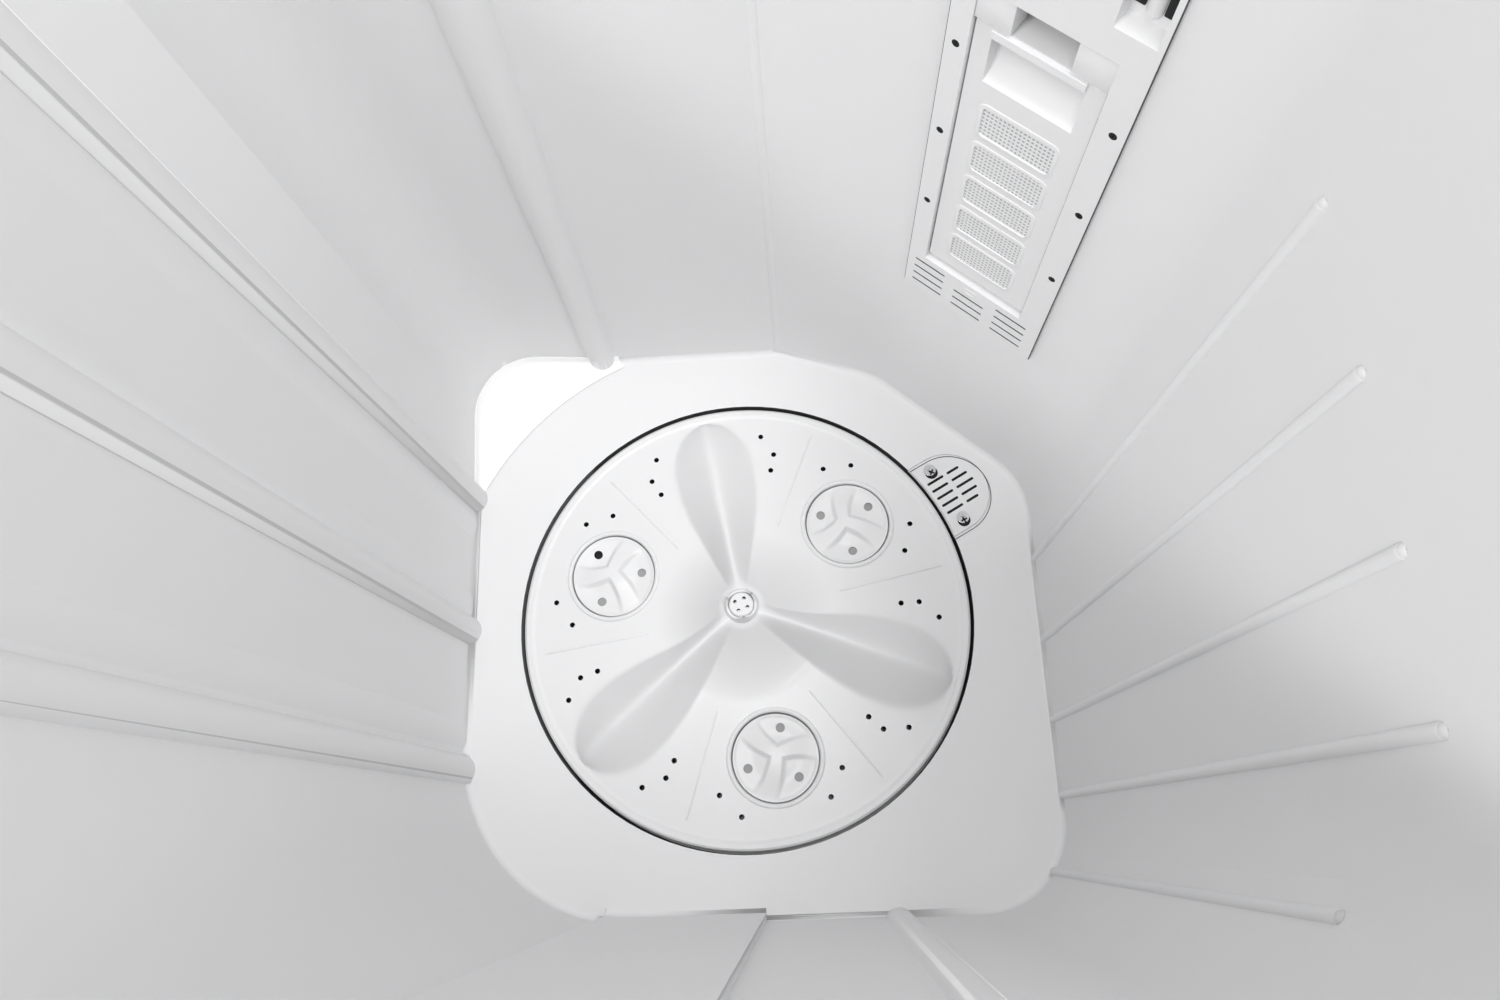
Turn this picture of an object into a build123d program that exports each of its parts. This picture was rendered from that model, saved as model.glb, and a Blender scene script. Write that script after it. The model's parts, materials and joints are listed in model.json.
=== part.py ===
from build123d import *
import math
import os

# Semi-automatic washing machine with a wash tub on the left and a spin tub on the right.
# Millimetres. The origin is on the floor under the middle of the cabinet, +Z is up,
# the front is -Y and the control console stands along the back.

os.makedirs("parts", exist_ok=True)

# Gaps between pieces
run_fit = 0.05
seat_gap = 0.3

# Cabinet, base and deck
width = 860.0
depth = 550.0
deck_top = 890.0
deck_plate = 3.0
deck_skirt = 35.0
deck_skirt_wall = 2.5
collar_drop = 15.0
cabinet_wall = 2.5
corner_radius = 30.0
foot_height = 22.0
foot_radius = 20.0
foot_pin_radius = 5.0
foot_pin_length = 8.0
foot_inset = 55.0
base_height = 108.0
base_wall = 4.0
cover_thickness = 2.0
cover_inset = 1.5
flange_width = 16.0
cover_screw_radius = 2.0
cover_screw_length = 8.0
cover_screw_rows = 4
screw_head_ratio = 2.0
vent_rows = 8
vent_bottom = 300.0
vent_pitch = 16.0
vent_width = 5.0
vent_length = 160.0
vent_spread = 200.0

# Wash tub: walls as (direction of the outward normal, distance from the pulsator axis)
wash_x = -206.0
wash_y = -54.0
tub_depth = 577.0
tub_wall = 3.0
tub_draft = 0.5
tub_flange = 5.0
tub_floor_fillet = 5.0
tub_left = 200.0
tub_back = 207.0
tub_slant = 206.2
tub_diagonal = 206.0
tub_right = 209.0
tub_front = 204.0
slant_angle = 71.0
diagonal_angle = 49.0
radius_left_back = 48.0
radius_back_slant = 6.0
radius_slant_diagonal = 60.0
radius_diagonal_right = 60.0
radius_right_front = 60.0
radius_front_left = 120.0

# Ribs and marks on the tub walls
left_rib_places = (98.0, -2.0, -100.0)
left_rib_radius = 10.5
left_rib_height = 8.5
left_ripple_places = (77.0, 16.0, -76.5)
left_ripple_width = 19.0
left_ripple_height = 1.6
back_rib_place = -105.0
back_rib_lean = 10.0
back_rib_foot_radius = 10.5
back_rib_top_radius = 17.0
back_rib_height = 9.0
crease_radius = 4.0
crease_height = 1.4
right_rib_places = (33.0, -25.5, -80.6, -130.7)
corner_rib_angle = -35.5
right_rib_radius = 2.7
right_rib_height = 2.3
right_rib_top = 446.0
corner_rib_top = 392.0
front_rib_place = 95.0
front_rib_radius = 10.0
front_rib_height = 6.0
front_pad_start = -99.0
front_pad_end = 8.0
front_pad_height = 5.0
corner_ramp_radius = 220.0
corner_ramp_slope = 14.0
corner_ramp_start = 113.0
corner_ramp_end = 153.5

# Pulsator
pulsator_radius = 160.0
pulsator_gap = 2.5
pulsator_skirt = 10.0
pulsator_shell = 4.0
pan_depth = 24.0
rim_lip_width = 5.0
rim_lip_height = 1.2
cone_foot_radius = 53.0
cone_foot_height = 4.0
cone_dip = 0.3
hub_radius = 13.0
hub_height = 40.0
hub_boss_radius = 15.0
hub_cap_radius = 8.6
hub_cap_height = 5.0
hub_cap_proud = 1.5
hub_cap_hole_radius = 1.2
hub_cap_hole_circle = 4.6
hub_cap_hole_turn = -25.5
hub_screw_radius = 2.5
hub_screw_head = 5.0
hub_screw_head_height = 2.4
hub_screw_grip = 10.0
petal_axis = 100.0
petal_sections = (
    # distance from the axis, half width on the dish, height of the ridge
    (15.0, 6.0, 37.0),
    (31.0, 10.5, 37.0),
    (52.0, 17.0, 36.0),
    (78.0, 25.0, 34.5),
    (103.0, 29.0, 32.0),
    (122.0, 28.5, 28.5),
    (136.0, 24.0, 22.5),
    (145.0, 17.5, 15.0),
    (150.0, 9.0, 7.0),
)
petal_sink = 3.0
ridge_half_width = 3.6
disc_axis = 40.3
disc_circle = 101.0
disc_radius = 30.0
disc_gap = 0.7
disc_thickness = 5.0
disc_pocket_depth = 7.0
disc_lip_width = 3.0
disc_lip_height = 1.3
disc_dome = 3.0
disc_turns = (50.0, 17.0, -29.0)
disc_rib_width = 9.0
disc_rib_height = 2.4
disc_rib_reach = 31.0
disc_rib_bend = 2.0
disc_hole_radius = 3.2
disc_hole_circle = 20.5
disc_hole_turn = 68.0
disc_pin_radius = 3.0
disc_pin_head = 5.5
disc_pin_head_height = 1.6
disc_pin_grip = 4.0
disc_seat = 0.5
drain_hole_radius = 1.9
drain_hole_places = (
    # distance from the axis, angle either side of each small disc
    (111.8, 38.0),
    (124.7, 38.0),
    (125.0, 20.1),
    (138.0, 13.0),
    (138.0, 43.0),
)
spoke_line_angle = 28.0
spoke_line_start = 70.0
spoke_line_end = 146.0
spoke_line_width = 1.2
spoke_line_height = 0.5

# Wash drive
shaft_radius = 6.0
shaft_bottom = 152.0
shaft_reach = 20.0
shaft_top_gap = 2.0
housing_rise = 4.0
housing_flange_radius = 46.0
housing_flange = 4.0
housing_radius = 16.0
housing_bore = 10.0
housing_length = 82.0
bush_length = 18.0
seal_height = 6.0
pulley_radius = 70.0
motor_pulley_radius = 20.0
pulley_width = 11.0
pulley_flange = 2.5
pulley_flange_height = 6.0
pulley_web = 4.0
pulley_hub_radius = 13.0
pulley_bottom = 158.0
belt_width = 10.0
belt_thickness = 5.0
belt_gap = 0.3
motor_distance = 165.0
motor_angle = 135.0
motor_radius = 62.0
motor_wall = 3.0
motor_height = 108.0
rotor_radius = 40.0
rotor_height = 60.0
motor_shaft_radius = 6.0
air_gap = 1.0
mount_height = 8.0
mount_radius = 12.0
mount_circle = 48.0
capacitor_radius = 18.0
capacitor_height = 62.0
capacitor_side = 100.0
capacitor_front = 105.0
terminal_height = 8.0

# Spin side
spin_x = 222.0
spin_y = -45.0
spin_floor = 320.0
spin_housing_radius = 170.0
spin_wall = 3.0
spin_opening_radius = 150.0
basket_radius = 140.0
basket_wall = 2.0
basket_bottom = 345.0
basket_height = 455.0
basket_floor = 4.0
basket_rim_width = 10.0
basket_hub_radius = 26.0
basket_hub_height = 30.0
basket_hole_radius = 4.0
basket_hole_rows = 8
basket_hole_columns = 14
spin_shaft_radius = 9.0
seal_radius = 30.0
seal_neck = 16.0
seal_lip = 6.0
seal_folds = 5
drum_bottom = 180.0
drum_height = 26.0
drum_radius = 55.0
drum_wall = 5.0
spin_motor_bottom = 42.0
spin_motor_height = 112.0
plate_radius = 90.0
plate_thickness = 4.0
sleeve_radius = 13.0
sleeve_bore = 9.0
sleeve_circle = 77.0
sleeve_turn = 30.0
brake_gap = 4.0
brake_pad_width = 16.0
brake_pad_thickness = 5.0
brake_arm_width = 12.0
brake_arm_height = 8.0
brake_arm_bottom = 189.0
brake_arm_length = 110.0
brake_pivot_back = 50.0
brake_pin_radius = 4.0

# Drain
grille_angle = 29.3
grille_half_width = 30.0
grille_arc_centre = 174.3
grille_thickness = 2.0
grille_gap = 0.4
slot_width = 1.9
slot_pitch = 6.4
slot_rows = 5
inner_slot_start = 165.2
inner_slot_end = 179.0
outer_slot_start = 182.2
outer_slot_ends = (196.8, 195.5, 192.4)
grille_screw_reach = 172.8
grille_screw_spread = 21.4
tub_screw_radius = 2.0
tub_screw_head = 4.4
tub_screw_head_height = 1.6
tub_screw_length = 7.0
boss_radius = 4.2
boss_length = 8.0
drain_hole_reach = 186.0
chamber_radius = 19.7
chamber_wall = 2.7
chamber_bottom = 225.0
chamber_floor = 3.0
seat_height = 262.0
seat_thickness = 3.0
seat_bore = 10.0
plunger_radius = 14.0
plunger_thickness = 6.0
plunger_rod_radius = 3.0
plunger_rod_drop = 18.0
pipe_radius = 13.0
pipe_bore = 10.0
port_length = 26.0
port_height = 243.0
spigot_x = 120.0
spigot_z = 176.0
spigot_reach = 73.5
spigot_radius = 14.0
spigot_bore = 11.0
spigot_end_radius = 12.5
spigot_collar = 3.0
alcove_width = 80.0
alcove_height = 70.0
alcove_depth = 30.0
spin_pipe_x = 120.0
spin_pipe_y = 60.0
pipe_bend = 34.0
hose_bend_x = -10.0
hose_bend_drop = 50.0
hose_run = 50.0

# Filter on the diagonal wall
filter_offset = -18.0
frame_width = 90.0
frame_bottom = 165.0
frame_height = 335.0
frame_thickness = 2.5
pocket_width = 65.0
pocket_shift = -1.5
pocket_bottom = 200.0
pocket_height = 205.0
pocket_depth = 26.0
pocket_wall = 2.0
cassette_gap = 0.8
cassette_height = 186.0
cassette_depth = 20.0
cassette_wall = 2.0
cassette_pin_radius = 2.5
cassette_round = 4.0
window_width = 40.0
window_height = 20.5
window_pitch = 26.5
window_count = 5
window_bottom = 13.0
window_corner = 3.0
mesh_thickness = 0.8
scoop_radius = 18.0
scoop_rise = 10.0
scoop_top = 183.0
bar_width = 46.0
bar_thickness = 4.0
panel_slot_width = 21.0
panel_slot_pitch = 28.2
panel_slot_thickness = 1.8
panel_slot_rows = 4
panel_slot_row_pitch = 7.3
panel_slot_first = 7.0
panel_hole_rows = 3
panel_hole_pitch = 58.0
panel_hole_first = 88.0
panel_hole_side = 39.5
overflow_width = 19.0
overflow_height = 60.0
overflow_depth = 8.0
overflow_bottom = 255.0
overflow_side = 33.0
post_radius = 3.5

# Console
console_height = 110.0
console_depth = 75.0
console_step = 24.0
console_slope = 40.0
console_wall = 3.0
panel_thickness = 2.0
panel_length = 800.0
panel_height = 70.0
panel_corner = 8.0
knob_radius = 24.0
knob_height = 20.0
knob_grip_width = 9.0
knob_grip_height = 8.0
knob_stem_radius = 4.0
knob_socket_depth = 6.0
knob_edge = 2.0
stem_clearance = 1.0
timer_size = 54.0
timer_depth = 34.0
wash_timer_x = -300.0
water_x = -110.0
program_x = 90.0
spin_timer_x = 300.0
nozzle_radius = 9.5
nozzle_bore = 6.5
nozzle_height = 26.0
nozzle_back = 21.0
nozzle_root_radius = 10.5
nozzle_shoulder = 1.0
fill_x = -200.0
fill_radius = 10.0
fill_bore = 8.0
fill_bend = 18.0
fill_pipe_back = 37.0
fill_start_height = 932.0
fill_height = 858.0
fill_reach = 12.0
gland_x = -280.0
gland_z = 190.0
gland_radius = 8.0
gland_flange = 11.0
gland_bore = 4.0
gland_length = 14.0

# Lids
hinge_front = 28.0
hinge_rise = 8.0
lid_thickness = 2.5
lid_height = 15.7
lid_rear_gap = 8.0
lid_front_gap = 7.0
lid_side = 14.0
lid_middle_gap = 6.0
lid_corner = 18.0
knuckle_radius = 7.0
knuckle_length = 22.0
knuckle_inset = 46.0
ear_length = 9.0
ear_gap = 0.5
lid_pin_radius = 2.5
grip_width = 90.0
grip_depth = 6.0
grip_height = 7.0
wash_lid_open = 94.0

# Heights and places that follow from the sizes above
tub_floor = deck_top - deck_plate - tub_depth
base_bottom = foot_height
base_top = base_bottom + base_height
cabinet_top = deck_top - deck_skirt
under_deck = deck_top - deck_plate
pan_radius = pulsator_radius + pulsator_gap
pan_bottom = tub_floor - pan_depth - tub_wall
housing_top = tub_floor - pan_depth + housing_rise
housing_bottom = housing_top - housing_length
back_face = depth / 2 - cover_inset
spigot_start = back_face - spigot_reach
console_front = depth / 2 - console_depth
hinge_y = console_front - hinge_front
lid_front = lid_front_gap - depth / 2
nozzle_y = depth / 2 - nozzle_back
fill_back = depth / 2 - fill_pipe_back
hinge_z = deck_top + hinge_rise
hub_drop = pan_depth - housing_rise - shaft_top_gap
base_floor = base_bottom + base_wall
motor_x = wash_x + motor_distance * math.cos(math.radians(motor_angle))
motor_y = wash_y + motor_distance * math.sin(math.radians(motor_angle))
tub_spread = tub_depth * math.tan(math.radians(tub_draft))
tub_top_right = tub_right + tub_spread
tub_top_back = wash_y + tub_back + tub_spread
lid_split = (wash_x + tub_top_right + tub_wall + spin_x - spin_opening_radius) / 2


def write(shape, node):
    """Write one piece of the machine."""
    export_step(shape, "parts/" + node + ".step")


def group(shapes):
    """Several solids that make up one node."""
    return Compound(children=[s for shape in shapes for s in shape.solids()])


def block(x0, x1, y0, y1, z0, z1):
    """A box between two corners."""
    size = (x1 - x0, y1 - y0, z1 - z0)
    return Pos((x0 + x1) / 2, (y0 + y1) / 2, (z0 + z1) / 2) * Box(*size)


def rod(x, y, z0, z1, radius):
    """An upright cylinder."""
    return Pos(x, y, (z0 + z1) / 2) * Cylinder(radius, z1 - z0)


def tube(x, y, z0, z1, radius, bore):
    """An upright hollow cylinder."""
    return rod(x, y, z0, z1, radius) - rod(x, y, z0, z1, bore)


def slab(outline, z0, z1):
    """A flat outline raised from one height to another."""
    return Pos(0, 0, z0) * extrude(outline, amount=z1 - z0)


def rounded_slab(x0, x1, y0, y1, z0, z1, radius):
    """A block with rounded upright corners."""
    outline = Pos((x0 + x1) / 2, (y0 + y1) / 2) * RectangleRounded(x1 - x0, y1 - y0, radius)
    return slab(outline, z0, z1)


def rod_between(start, end, radius, end_radius=None):
    """A round bar, or a cone if the radii differ, between two points."""
    start, end = Vector(*start), Vector(*end)
    along = end - start
    seat = Plane(origin=start, z_dir=along)
    stands = (Align.CENTER, Align.CENTER, Align.MIN)
    if end_radius is None:
        return seat * Cylinder(radius, along.length, align=stands)
    return seat * Cone(radius, end_radius, along.length, align=stands)


def polar(x, y, reach, angle):
    """The point at a distance and angle from a centre."""
    turn = math.radians(angle)
    return x + reach * math.cos(turn), y + reach * math.sin(turn)


# Wash tub

def wall_point(angle, distance, along, height, inset=0.0):
    """A point on a drafted tub wall, along the wall to the left as seen from outside."""
    turn = math.radians(angle)
    reach = distance + height * math.tan(math.radians(tub_draft)) - inset
    x = wash_x + reach * math.cos(turn) - along * math.sin(turn)
    y = wash_y + reach * math.sin(turn) + along * math.cos(turn)
    return x, y, tub_floor + height


def crossing(first, second):
    """Where two tub walls meet, from their angles and distances."""
    a, b = math.radians(first[0]), math.radians(second[0])
    turn = math.sin(b - a)
    x = (first[1] * math.sin(b) - second[1] * math.sin(a)) / turn
    y = (second[1] * math.cos(a) - first[1] * math.cos(b)) / turn
    return wash_x + x, wash_y + y


def tub_outline(grow=0.0):
    """The inside of the wash tub at its floor, grown outwards by a wall."""
    walls = (
        (0.0, tub_right, radius_diagonal_right),
        (diagonal_angle, tub_diagonal, radius_slant_diagonal),
        (slant_angle, tub_slant, radius_back_slant),
        (90.0, tub_back, radius_left_back),
        (180.0, tub_left, radius_front_left),
        (270.0, tub_front, radius_right_front),
    )
    corners = [crossing(walls[i], walls[(i + 1) % len(walls)]) for i in range(len(walls))]
    outline = make_face(Polyline(*corners, close=True))
    for corner, wall in zip(corners, walls):
        near = outline.vertices().sort_by_distance(Vector(*corner, 0))[0]
        outline = fillet([near], wall[2])
    if grow:
        outline = offset(outline, amount=grow)
    return outline


def tub_cavity(rounded=True):
    """The space inside the wash tub."""
    space = Pos(0, 0, tub_floor) * extrude(tub_outline(), amount=tub_depth, taper=-tub_draft)
    if rounded:
        floor = space.faces().sort_by(Axis.Z)[0]
        space = fillet(floor.edges(), tub_floor_fillet)
    return space


def upright_rib(angle, distance, along, radius, height, top=tub_depth, top_radius=None, lean=0.0):
    """A half-round rib up a tub wall, which stands out from it by its height."""
    sink = height - radius
    top_sink = height - (top_radius or radius)
    start = wall_point(angle, distance, along, 0.0, sink)
    end = wall_point(angle, distance, along + lean, top, top_sink)
    return rod_between(start, end, radius, top_radius)


def tub_ribs():
    """The ribs, ripples and crease moulded on the tub walls."""
    ripple_radius = (left_ripple_width ** 2 / 4 + left_ripple_height ** 2) / (2 * left_ripple_height)
    crease = crossing((slant_angle, tub_slant), (90.0, tub_back))[0] - wash_x
    ribs = [upright_rib(180.0, tub_left, -y, left_rib_radius, left_rib_height) for y in left_rib_places]
    for y in left_ripple_places:
        ribs.append(upright_rib(180.0, tub_left, -y, ripple_radius, left_ripple_height))
    ribs.append(upright_rib(90.0, tub_back, -back_rib_place, back_rib_foot_radius, back_rib_height,
                            top_radius=back_rib_top_radius, lean=-back_rib_lean))
    ribs.append(upright_rib(90.0, tub_back, -crease, crease_radius, crease_height))
    ribs.append(upright_rib(270.0, tub_front, front_rib_place, front_rib_radius, front_rib_height))
    ribs += [short_rib(0.0, tub_right, y, right_rib_top) for y in right_rib_places]
    turn = math.radians(corner_rib_angle)
    side = tub_right - radius_right_front
    front = tub_front - radius_right_front
    reach = side * math.cos(turn) - front * math.sin(turn) + radius_right_front
    along = -side * math.sin(turn) - front * math.cos(turn)
    ribs.append(short_rib(corner_rib_angle, reach, along, corner_rib_top))
    return ribs


def short_rib(angle, distance, along, top):
    """A thin rib with a rounded top, part of the way up a tub wall."""
    end = wall_point(angle, distance, along, top, right_rib_height - right_rib_radius)
    rib = upright_rib(angle, distance, along, right_rib_radius, right_rib_height, top=top)
    return rib + Pos(*end) * Sphere(right_rib_radius)


def front_pad(cavity):
    """The shallow step on the left half of the front wall."""
    span = block(wash_x + front_pad_start, wash_x + front_pad_end, wash_y - 2 * tub_front, wash_y,
                 tub_floor, under_deck)
    return (cavity & span) - Pos(0, front_pad_height, 0) * cavity


def corner_ramp():
    """The raised floor in the back left corner, which climbs away from the pulsator."""
    reach = 2 * corner_ramp_radius
    rise = (reach - corner_ramp_radius) * math.tan(math.radians(corner_ramp_slope))
    section = Plane.XZ * make_face(Polyline((corner_ramp_radius, 0), (reach, 0), (reach, rise), close=True))
    ring = revolve(section, axis=Axis.Z, revolution_arc=corner_ramp_end - corner_ramp_start)
    return Pos(wash_x, wash_y, tub_floor) * Rot(0, 0, corner_ramp_start) * ring


def grille_outline(grow=0.0):
    """The outline of the drain grille beside the pulsator."""
    half = grille_half_width + grow
    plate = Pos(grille_arc_centre / 2, 0) * Rectangle(grille_arc_centre, 2 * half)
    plate += Pos(grille_arc_centre, 0) * Circle(half)
    plate -= Circle(pan_radius + grille_gap - grow)
    return Pos(wash_x, wash_y) * Rot(0, 0, grille_angle) * plate


def grille_screw_places():
    """Where the two screws of the drain grille stand."""
    turn = math.degrees(math.atan2(grille_screw_spread, grille_screw_reach))
    reach = math.hypot(grille_screw_reach, grille_screw_spread)
    return [polar(wash_x, wash_y, reach, grille_angle + side * turn) for side in (-1, 1)]


def drain_place():
    """The middle of the drain hole in the tub floor."""
    return polar(wash_x, wash_y, drain_hole_reach, grille_angle)


def make_wash_tub():
    """The wash tub with its pulsator pan, drain hole and filter opening."""
    cavity = tub_cavity()
    wall = Pos(0, 0, tub_floor - tub_wall)
    shell = wall * extrude(tub_outline(tub_wall), amount=tub_depth + tub_wall, taper=-tub_draft)
    rim = slab(offset(tub_outline(tub_wall), amount=tub_flange), under_deck - tub_wall, under_deck)
    pan = rod(wash_x, wash_y, pan_bottom, tub_floor, pan_radius + tub_wall)
    extras = [rib & cavity for rib in tub_ribs()]
    extras += [corner_ramp() & cavity, front_pad(cavity)]
    tub = shell + rim + pan - cavity
    for extra in extras:
        tub += extra
    tub -= rod(wash_x, wash_y, tub_floor - pan_depth, tub_floor, pan_radius)
    tub -= rod(wash_x, wash_y, pan_bottom, tub_floor, housing_radius + seat_gap)
    tub -= slab(grille_outline(grille_gap), tub_floor - grille_thickness, tub_floor)
    tub -= rod(*drain_place(), pan_bottom, tub_floor, chamber_radius - chamber_wall)
    bottom = tub_floor - grille_thickness - boss_length
    for x, y in grille_screw_places():
        tub += rod(x, y, bottom, tub_floor - grille_thickness, boss_radius)
        tub -= rod(x, y, bottom, tub_floor - grille_thickness, tub_screw_radius)
    tub -= filter_plane() * filter_pocket(pocket_wall + seat_gap, frame_thickness)
    tub -= filter_plane() * overflow_recess(pocket_wall + seat_gap, frame_thickness)
    for place in filter_hole_places():
        tub -= filter_plane() * Pos(*place, 0) * Cylinder(tub_screw_radius, 4 * tub_wall)
    tub -= fill_pipe_bore()
    return tub


def make_drain_grille():
    """The slotted plate over the drain."""
    plate = slab(grille_outline(), tub_floor - grille_thickness, tub_floor)
    spots = []
    for row in range(slot_rows):
        side = row - (slot_rows - 1) / 2
        ends = ((inner_slot_start, inner_slot_end), (outer_slot_start, outer_slot_ends[abs(round(side))]))
        for start, end in ends:
            slot = Pos((start + end) / 2, side * slot_pitch) * SlotOverall(end - start, slot_width)
            spots.append(slot)
    holes = Pos(wash_x, wash_y) * Rot(0, 0, grille_angle) * Sketch(children=spots)
    plate -= slab(holes, tub_floor - grille_thickness, tub_floor)
    for x, y in grille_screw_places():
        plate -= rod(x, y, tub_floor - grille_thickness, tub_floor, tub_screw_radius)
    return plate


def screw(length, radius, head, head_height):
    """A screw whose head's underside lies on the plane z = 0, pointing down."""
    shank = Pos(0, 0, -length / 2) * Cylinder(radius, length)
    cap = Pos(0, 0, head_height / 2) * Cylinder(head, head_height)
    arm = Pos(0, 0, head_height) * (Box(head, head / 5, head_height) + Box(head / 5, head, head_height))
    return shank + cap - arm


def make_tub_screws():
    """The screws of the drain grille and of the filter frame."""
    body = screw(tub_screw_length, tub_screw_radius, tub_screw_head, tub_screw_head_height)
    screws = [Pos(x, y, tub_floor) * body for x, y in grille_screw_places()]
    short = screw(frame_thickness + tub_wall, tub_screw_radius, tub_screw_radius, tub_screw_head_height)
    deep = frame_thickness - tub_screw_head_height
    for place in filter_hole_places():
        screws.append(filter_plane() * Pos(*place, deep) * short)
    return group(screws)


# Filter on the diagonal wall

def filter_plane():
    """A plane on the diagonal wall, seen from inside: +X to the right, +Y up the wall."""
    low = Vector(*wall_point(diagonal_angle, tub_diagonal, filter_offset, frame_bottom))
    high = Vector(*wall_point(diagonal_angle, tub_diagonal, filter_offset, tub_depth))
    turn = math.radians(diagonal_angle)
    across = Vector(math.sin(turn), -math.cos(turn), 0)
    return Plane(origin=low, x_dir=across, z_dir=across.cross(high - low))


def filter_pocket(wall, front):
    """The space behind the filter frame, from its front face to the pocket's back."""
    low = pocket_bottom - frame_bottom - wall
    size = (pocket_width + 2 * wall, pocket_height + 2 * wall, pocket_depth + wall + front)
    return Pos(pocket_shift, low + size[1] / 2, front - size[2] / 2) * Box(*size)


def overflow_recess(wall, front):
    """The space of the upper recess, from the frame's front face to the recess's back."""
    low = overflow_bottom - wall
    size = (overflow_width + 2 * wall, overflow_height + 2 * wall, overflow_depth + wall + front)
    return Pos(overflow_side, low + size[1] / 2, front - size[2] / 2) * Box(*size)


def filter_hole_places():
    """The six screw holes of the filter frame."""
    heights = [panel_hole_first + i * panel_hole_pitch for i in range(panel_hole_rows)]
    return [(side * panel_hole_side, height) for side in (-1, 1) for height in heights]


def make_filter_frame():
    """The frame plate on the wall, with the pocket that the filter swings into."""
    plate = extrude(Pos(0, frame_height / 2) * Rectangle(frame_width, frame_height), amount=frame_thickness)
    frame = plate + filter_pocket(pocket_wall, 0.0)
    frame -= filter_pocket(0.0, frame_thickness)
    for column in (-1, 0, 1):
        for row in range(panel_slot_rows):
            if column or row < panel_slot_rows - 1:
                x = pocket_shift + column * panel_slot_pitch
                y = panel_slot_first + row * panel_slot_row_pitch
                slot = Pos(x, y) * SlotOverall(panel_slot_width, panel_slot_thickness)
                frame -= Pos(0, 0, -frame_thickness) * extrude(slot, amount=3 * frame_thickness)
    axle = Pos(pocket_shift, pocket_bottom - frame_bottom + cassette_gap + cassette_round, -cassette_round)
    frame -= axle * Rot(0, 90, 0) * Cylinder(cassette_pin_radius + run_fit, pocket_width + 4 * pocket_wall)
    for place in filter_hole_places():
        frame -= Pos(*place, 0) * Cylinder(tub_screw_radius, 4 * frame_thickness)
    frame += overflow_recess(pocket_wall, 0.0) - filter_pocket(0.0, frame_thickness)
    frame -= overflow_recess(0.0, frame_thickness)
    post_foot = Pos(overflow_side, overflow_bottom + overflow_height / 3, -overflow_depth)
    frame += post_foot * Rot(-90, 0, 0) * Cylinder(post_radius, overflow_height / 2)
    return filter_plane() * frame


def cassette_place():
    """The plane of the filter cassette: its origin is the middle of its bottom front edge."""
    return filter_plane() * Pos(pocket_shift, pocket_bottom - frame_bottom + cassette_gap, 0)


def make_lint_filter():
    """The filter cassette: a shallow box with windows, a scoop, a pull bar and two pivot pins."""
    wide = pocket_width - 2 * cassette_gap
    body = Pos(0, cassette_height / 2, -cassette_depth / 2) * Box(wide, cassette_height, cassette_depth)
    low_front = body.edges().filter_by(Axis.X).sort_by(Axis.Y)[:2].sort_by(Axis.Z)[-1]
    body = fillet([low_front], cassette_round)
    scoop_half = math.sqrt(scoop_radius ** 2 - scoop_rise ** 2)
    hollow_top = scoop_top - 2 * scoop_half - cassette_wall
    hollow = Box(wide - 2 * cassette_wall, hollow_top - cassette_wall, cassette_depth)
    body -= Pos(0, (hollow_top + cassette_wall) / 2, -cassette_depth / 2 - cassette_wall) * hollow
    body -= Pos(0, scoop_top - scoop_half, scoop_rise) * Rot(0, 90, 0) * Cylinder(scoop_radius, bar_width)
    for i in range(window_count):
        y = window_bottom + window_height / 2 + i * window_pitch
        window = Pos(0, y) * RectangleRounded(window_width, window_height, window_corner)
        body -= Pos(0, 0, -2 * cassette_wall) * extrude(window, amount=3 * cassette_wall)
    bar = Box(bar_width, bar_thickness, bar_thickness)
    body += Pos(0, scoop_top, bar_thickness / 2 - cassette_wall) * bar
    pins = Pos(0, cassette_round, -cassette_round) * Rot(0, 90, 0) * Cylinder(
        cassette_pin_radius, pocket_width + 2 * pocket_wall)
    body += pins - Box(wide - 2 * cassette_wall, cassette_height, 2 * cassette_depth)
    return cassette_place() * body


def make_filter_mesh():
    """The mesh behind the windows of the cassette."""
    wide = window_width + 2 * window_corner
    high = (window_count - 1) * window_pitch + window_height + 2 * window_corner
    sheet = Box(wide, high, mesh_thickness)
    y = window_bottom - window_corner + high / 2
    return cassette_place() * Pos(0, y, -cassette_wall - mesh_thickness / 2) * sheet


def fill_pipe_bore():
    """The hole in the back wall of the tub for the fill pipe."""
    reach = 4 * fill_reach
    return Pos(fill_x, tub_top_back, fill_height) * Rot(90, 0, 0) * Cylinder(fill_radius + seat_gap, reach)


# Pulsator and its small discs

def petal_section(reach, half, height):
    """One tent-shaped section with a rounded ridge across a petal, at a distance from the axis."""
    foot = -petal_sink
    wide = half * (height + petal_sink) / height
    top = min(ridge_half_width, half / 3)
    shoulder = height - top * height / half / 2
    outline = [
        Line((-wide, foot), (-top, shoulder)),
        ThreePointArc((-top, shoulder), (0, height), (top, shoulder)),
        Line((top, shoulder), (wide, foot)),
        Line((wide, foot), (-wide, foot)),
    ]
    return Plane(origin=(reach, 0, 0), x_dir=(0, 1, 0), z_dir=(1, 0, 0)) * make_face(Wire(outline))


def make_petal():
    """One raised petal along +X, from the hub to its rounded end."""
    return loft([petal_section(*size) for size in petal_sections], ruled=False)


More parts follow.
